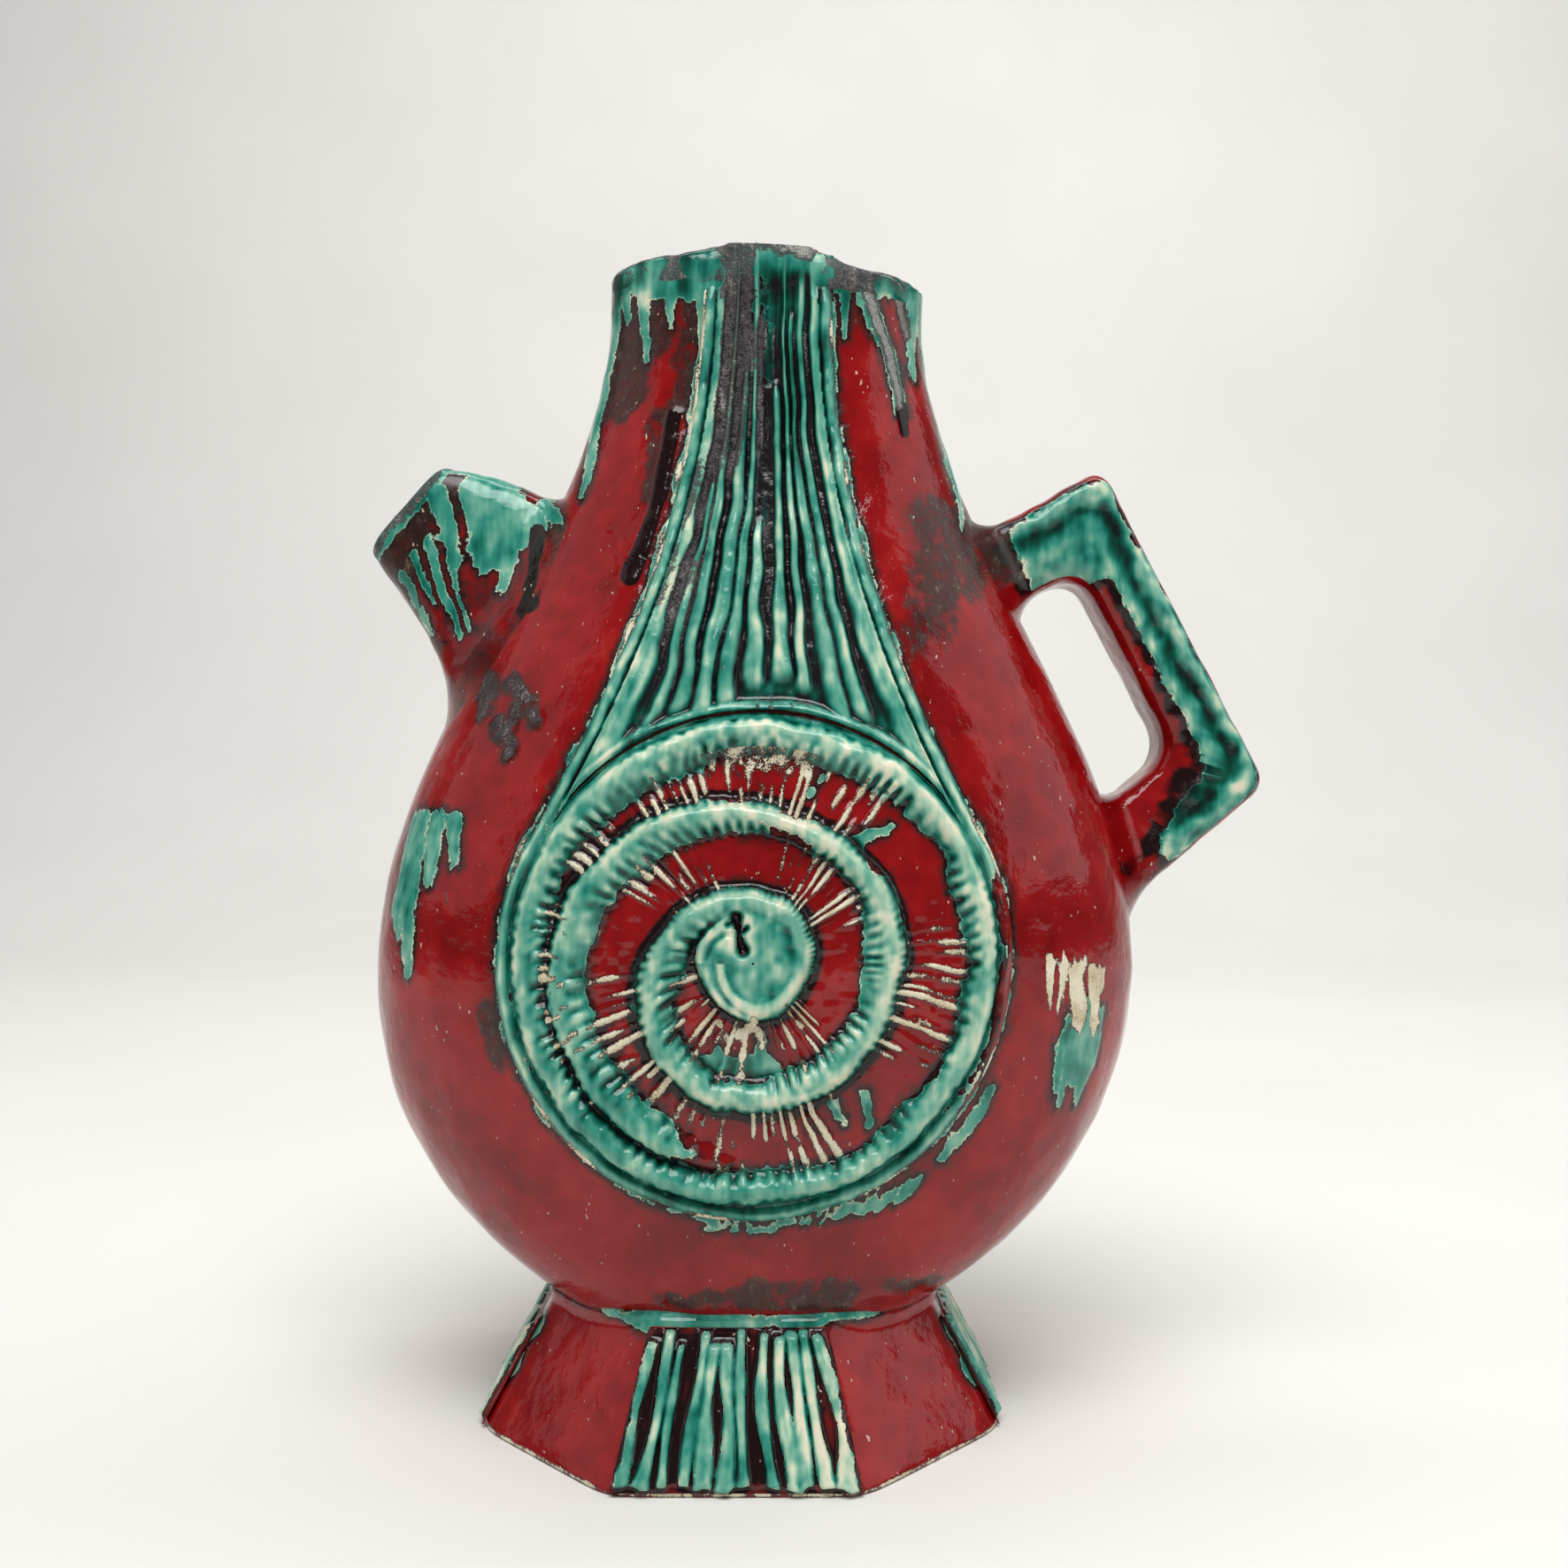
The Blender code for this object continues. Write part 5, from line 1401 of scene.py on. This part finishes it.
for side, place in ((1, "front"), (-1, "rear")):
    ray = np.linspace(0, 2 * np.pi, 620, endpoint=False)[:, None]

    x, z = spread(np.linspace(0, disc_reach, 96)[None, :], ray)
    disc = relief_piece("scored_disc", side, x, z, relief_underside, edges(x.shape, False),
                        ring=True)

    x, z = spread(np.linspace(ring_start, disc_radius + 1.0 * mm, 30)[None, :], ray)
    ring = relief_piece("outer_ring", side, x, z, relief_underside, edges(x.shape), ring=True)

    turns = np.linspace(0, spiral_turns, 900)[:, None]
    line, width = spiral_line(turns)
    fill = ease(turns, 1.42, 1.62) * ease(turns, 2.20, 2.02)
    inner = -width * 0.95
    inner = inner + fill * (0.6 * mm - line - inner)
    out = line + inner + (width * 0.56 - inner) * np.linspace(0, 1, 34)[None, :]
    x, z = spread(out, -np.pi / 2 - 2 * np.pi * turns)
    coil = relief_piece("coil", side, x, z, coil_underside, edges(x.shape))

    edge_z = np.linspace(fan_top_z + 8 * mm, fan_join_z, 176)[:-1]
    slope = (edge_half(edge_z - 0.5 * mm) - edge_half(edge_z + 0.5 * mm)) / mm
    edge_out = np.stack([-np.ones_like(slope), slope], -1) / np.hypot(1, slope)[:, None]
    left = np.stack([-edge_half(edge_z), edge_z], -1)
    arc = np.linspace(np.pi - fan_join_angle, 2 * np.pi + fan_join_angle, 420)
    arc_out = np.stack([np.cos(arc), np.sin(arc)], -1)
    bow = np.stack([np.zeros_like(arc), np.full_like(arc, spiral_z)], -1) + border_radius * arc_out
    flip = np.array((-1, 1))
    outline = np.concatenate([left, bow, (left * flip)[::-1]])
    outline_out = np.concatenate([edge_out, arc_out, (edge_out * flip)[::-1]])
    inward_steps = np.linspace(-0.3 * mm, border_width + 0.9 * mm, 19)[None, :, None]
    flat = outline[:, None] - outline_out[:, None] * inward_steps
    strip = relief_piece("edge_strip", side, flat[..., 0], flat[..., 1], relief_underside,
                         edges(flat.shape[:2]))

    share = np.linspace(-1, 1, 210)[None, :]
    along = np.linspace(0, 1, 230)[:, None]
    low_z = np.full(share.shape, fan_join_z)
    for _ in range(24):
        arch = spiral_z + np.sqrt(np.clip(
            (disc_radius + 1.1 * mm) ** 2 - (share * fan_half(low_z)) ** 2, 0, None))
        low_z = (low_z + np.maximum(arch, fan_join_z - 6 * mm)) / 2
    over_lip = share * fan_half(fan_top_z)
    top_z = flask_top_z + lip_rise(middle_x(fan_top_z) + side * over_lip) - 1.2 * mm
    top_z = top_z - mouth_tilt * side * over_lip
    z = top_z + (low_z - top_z) * along
    x = share * fan_half(np.minimum(z, fan_top_z))
    sunk = edges(x.shape) | ((z > fan_top_z + 1.5 * mm) & (np.abs(share) > 0.97))
    sunk[[0, -1]] = True
    fan = relief_piece("combed_fan", side, x, z, relief_underside, sunk)

    for piece, node, slot in ((disc, "_disc", "red_glaze"), (ring, "_ring", "turquoise_glaze"),
                              (coil, "_spiral", "turquoise_glaze"),
                              (strip, "_border", "turquoise_glaze"),
                              (fan, "_fan", "turquoise_glaze")):
        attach(piece, "root")
        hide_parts(place + node)


# Table and backdrop: one sheet of pale matt paper that lies flat and curves up behind the vase.
# It is no part of the vase, only what it stands on.
paper_front = -3.0
paper_half_width = 3.5
paper_top = 3.0
curve_start = 1.0
curve_radius = 0.9


def paper(name):
    """Off-white paper with the faintest mottle."""
    f = Finish(name)
    cloud = f.noise(0.25, 2)
    f.feed(f.shader.inputs["Base Color"],
           f.ramp(cloud, (0.3, 233, 231, 227), (0.7, 236, 235, 231)))
    f.shader.inputs["Roughness"].default_value = 0.9
    f.shader.inputs["Specular IOR Level"].default_value = 0.15
    return f.material


bend = np.linspace(0.1, np.pi / 2, 16)
upright = np.linspace(curve_radius + 0.3, paper_top, 4)
sweep = np.concatenate([
    np.stack([np.linspace(paper_front, curve_start, 9), np.zeros(9)], -1),
    np.stack([curve_start + curve_radius * np.sin(bend),
              curve_radius * (1 - np.cos(bend))], -1),
    np.stack([np.full(4, curve_start + curve_radius), upright], -1)])
sideways = np.linspace(-paper_half_width, paper_half_width, 3)
paper_points = np.stack(np.broadcast_arrays(sideways[:, None], sweep[None, :, 0],
                                            sweep[None, :, 1]), -1)
index = np.arange(paper_points.shape[0] * paper_points.shape[1]).reshape(paper_points.shape[:2])
paper_faces = np.stack([index[:-1, :-1], index[1:, :-1], index[1:, 1:], index[:-1, 1:]], -1)
mesh = bpy.data.meshes.new("paper_sweep")
mesh.from_pydata(paper_points.reshape(-1, 3).tolist(), [], paper_faces.reshape(-1, 4).tolist())
mesh.shade_smooth()
mesh.materials.append(paper("backdrop paper"))
backdrop = bpy.data.objects.new("paper_sweep", mesh)
bpy.context.scene.collection.objects.link(backdrop)


# Light: a pale room, with a large soft box overhead, one at each side and one for the backdrop.
# The left one is weaker than the right one, which leaves that side of the vase darker.
def soft_box(name, place, aim, size, power):
    """A rectangular area lamp at a place, turned to face a point."""
    data = bpy.data.lights.new(name, "AREA")
    data.shape = "RECTANGLE"
    data.size, data.size_y = size
    data.energy = power
    lamp = bpy.data.objects.new(name, data)
    bpy.context.scene.collection.objects.link(lamp)
    way = np.array(aim) - np.array(place)
    lamp.location = place
    lamp.rotation_euler = (math.acos(-way[2] / np.linalg.norm(way)), 0,
                           math.atan2(way[1], way[0]) - math.pi / 2)


soft_box("box_top", (0.0, -0.85, 1.75), (0, 0, 0.15), (1.4, 1.0), 31.5)
soft_box("box_right", (1.7, -0.35, 1.1), (0, 0, 0.15), (1.6, 1.6), 7.5)
soft_box("box_left", (-1.7, -0.35, 1.1), (0, 0, 0.15), (1.6, 1.6), 3.6)
soft_box("box_behind", (0.35, 0.45, 1.8), (0.30, 1.7, 0.40), (2.6, 0.6), 18.5)
world = bpy.data.worlds.new("pale_room")
world.use_nodes = True
world.node_tree.nodes["Background"].inputs["Color"].default_value = tone(247, 246, 246)
world.node_tree.nodes["Background"].inputs["Strength"].default_value = 0.14
bpy.context.scene.world = world

# Camera: level, a little right of the flask's middle and at about half the vase's height.
# Its lens takes in about 53 degrees of the view across the square picture.
picture_width = 1772           # in pixels
picture_distance = 1770        # from the lens, in the same
camera_place = (0.0114, -0.441, 0.170)
lens = bpy.data.cameras.new("camera")
lens.sensor_width = 36
lens.lens = lens.sensor_width * picture_distance / picture_width
camera = bpy.data.objects.new("camera", lens)
camera.location = camera_place
camera.rotation_euler = (math.pi / 2, 0, 0)
bpy.context.scene.collection.objects.link(camera)
bpy.context.scene.camera = camera
bpy.context.scene.view_settings.view_transform = "Standard"

bpy.context.view_layer.update()
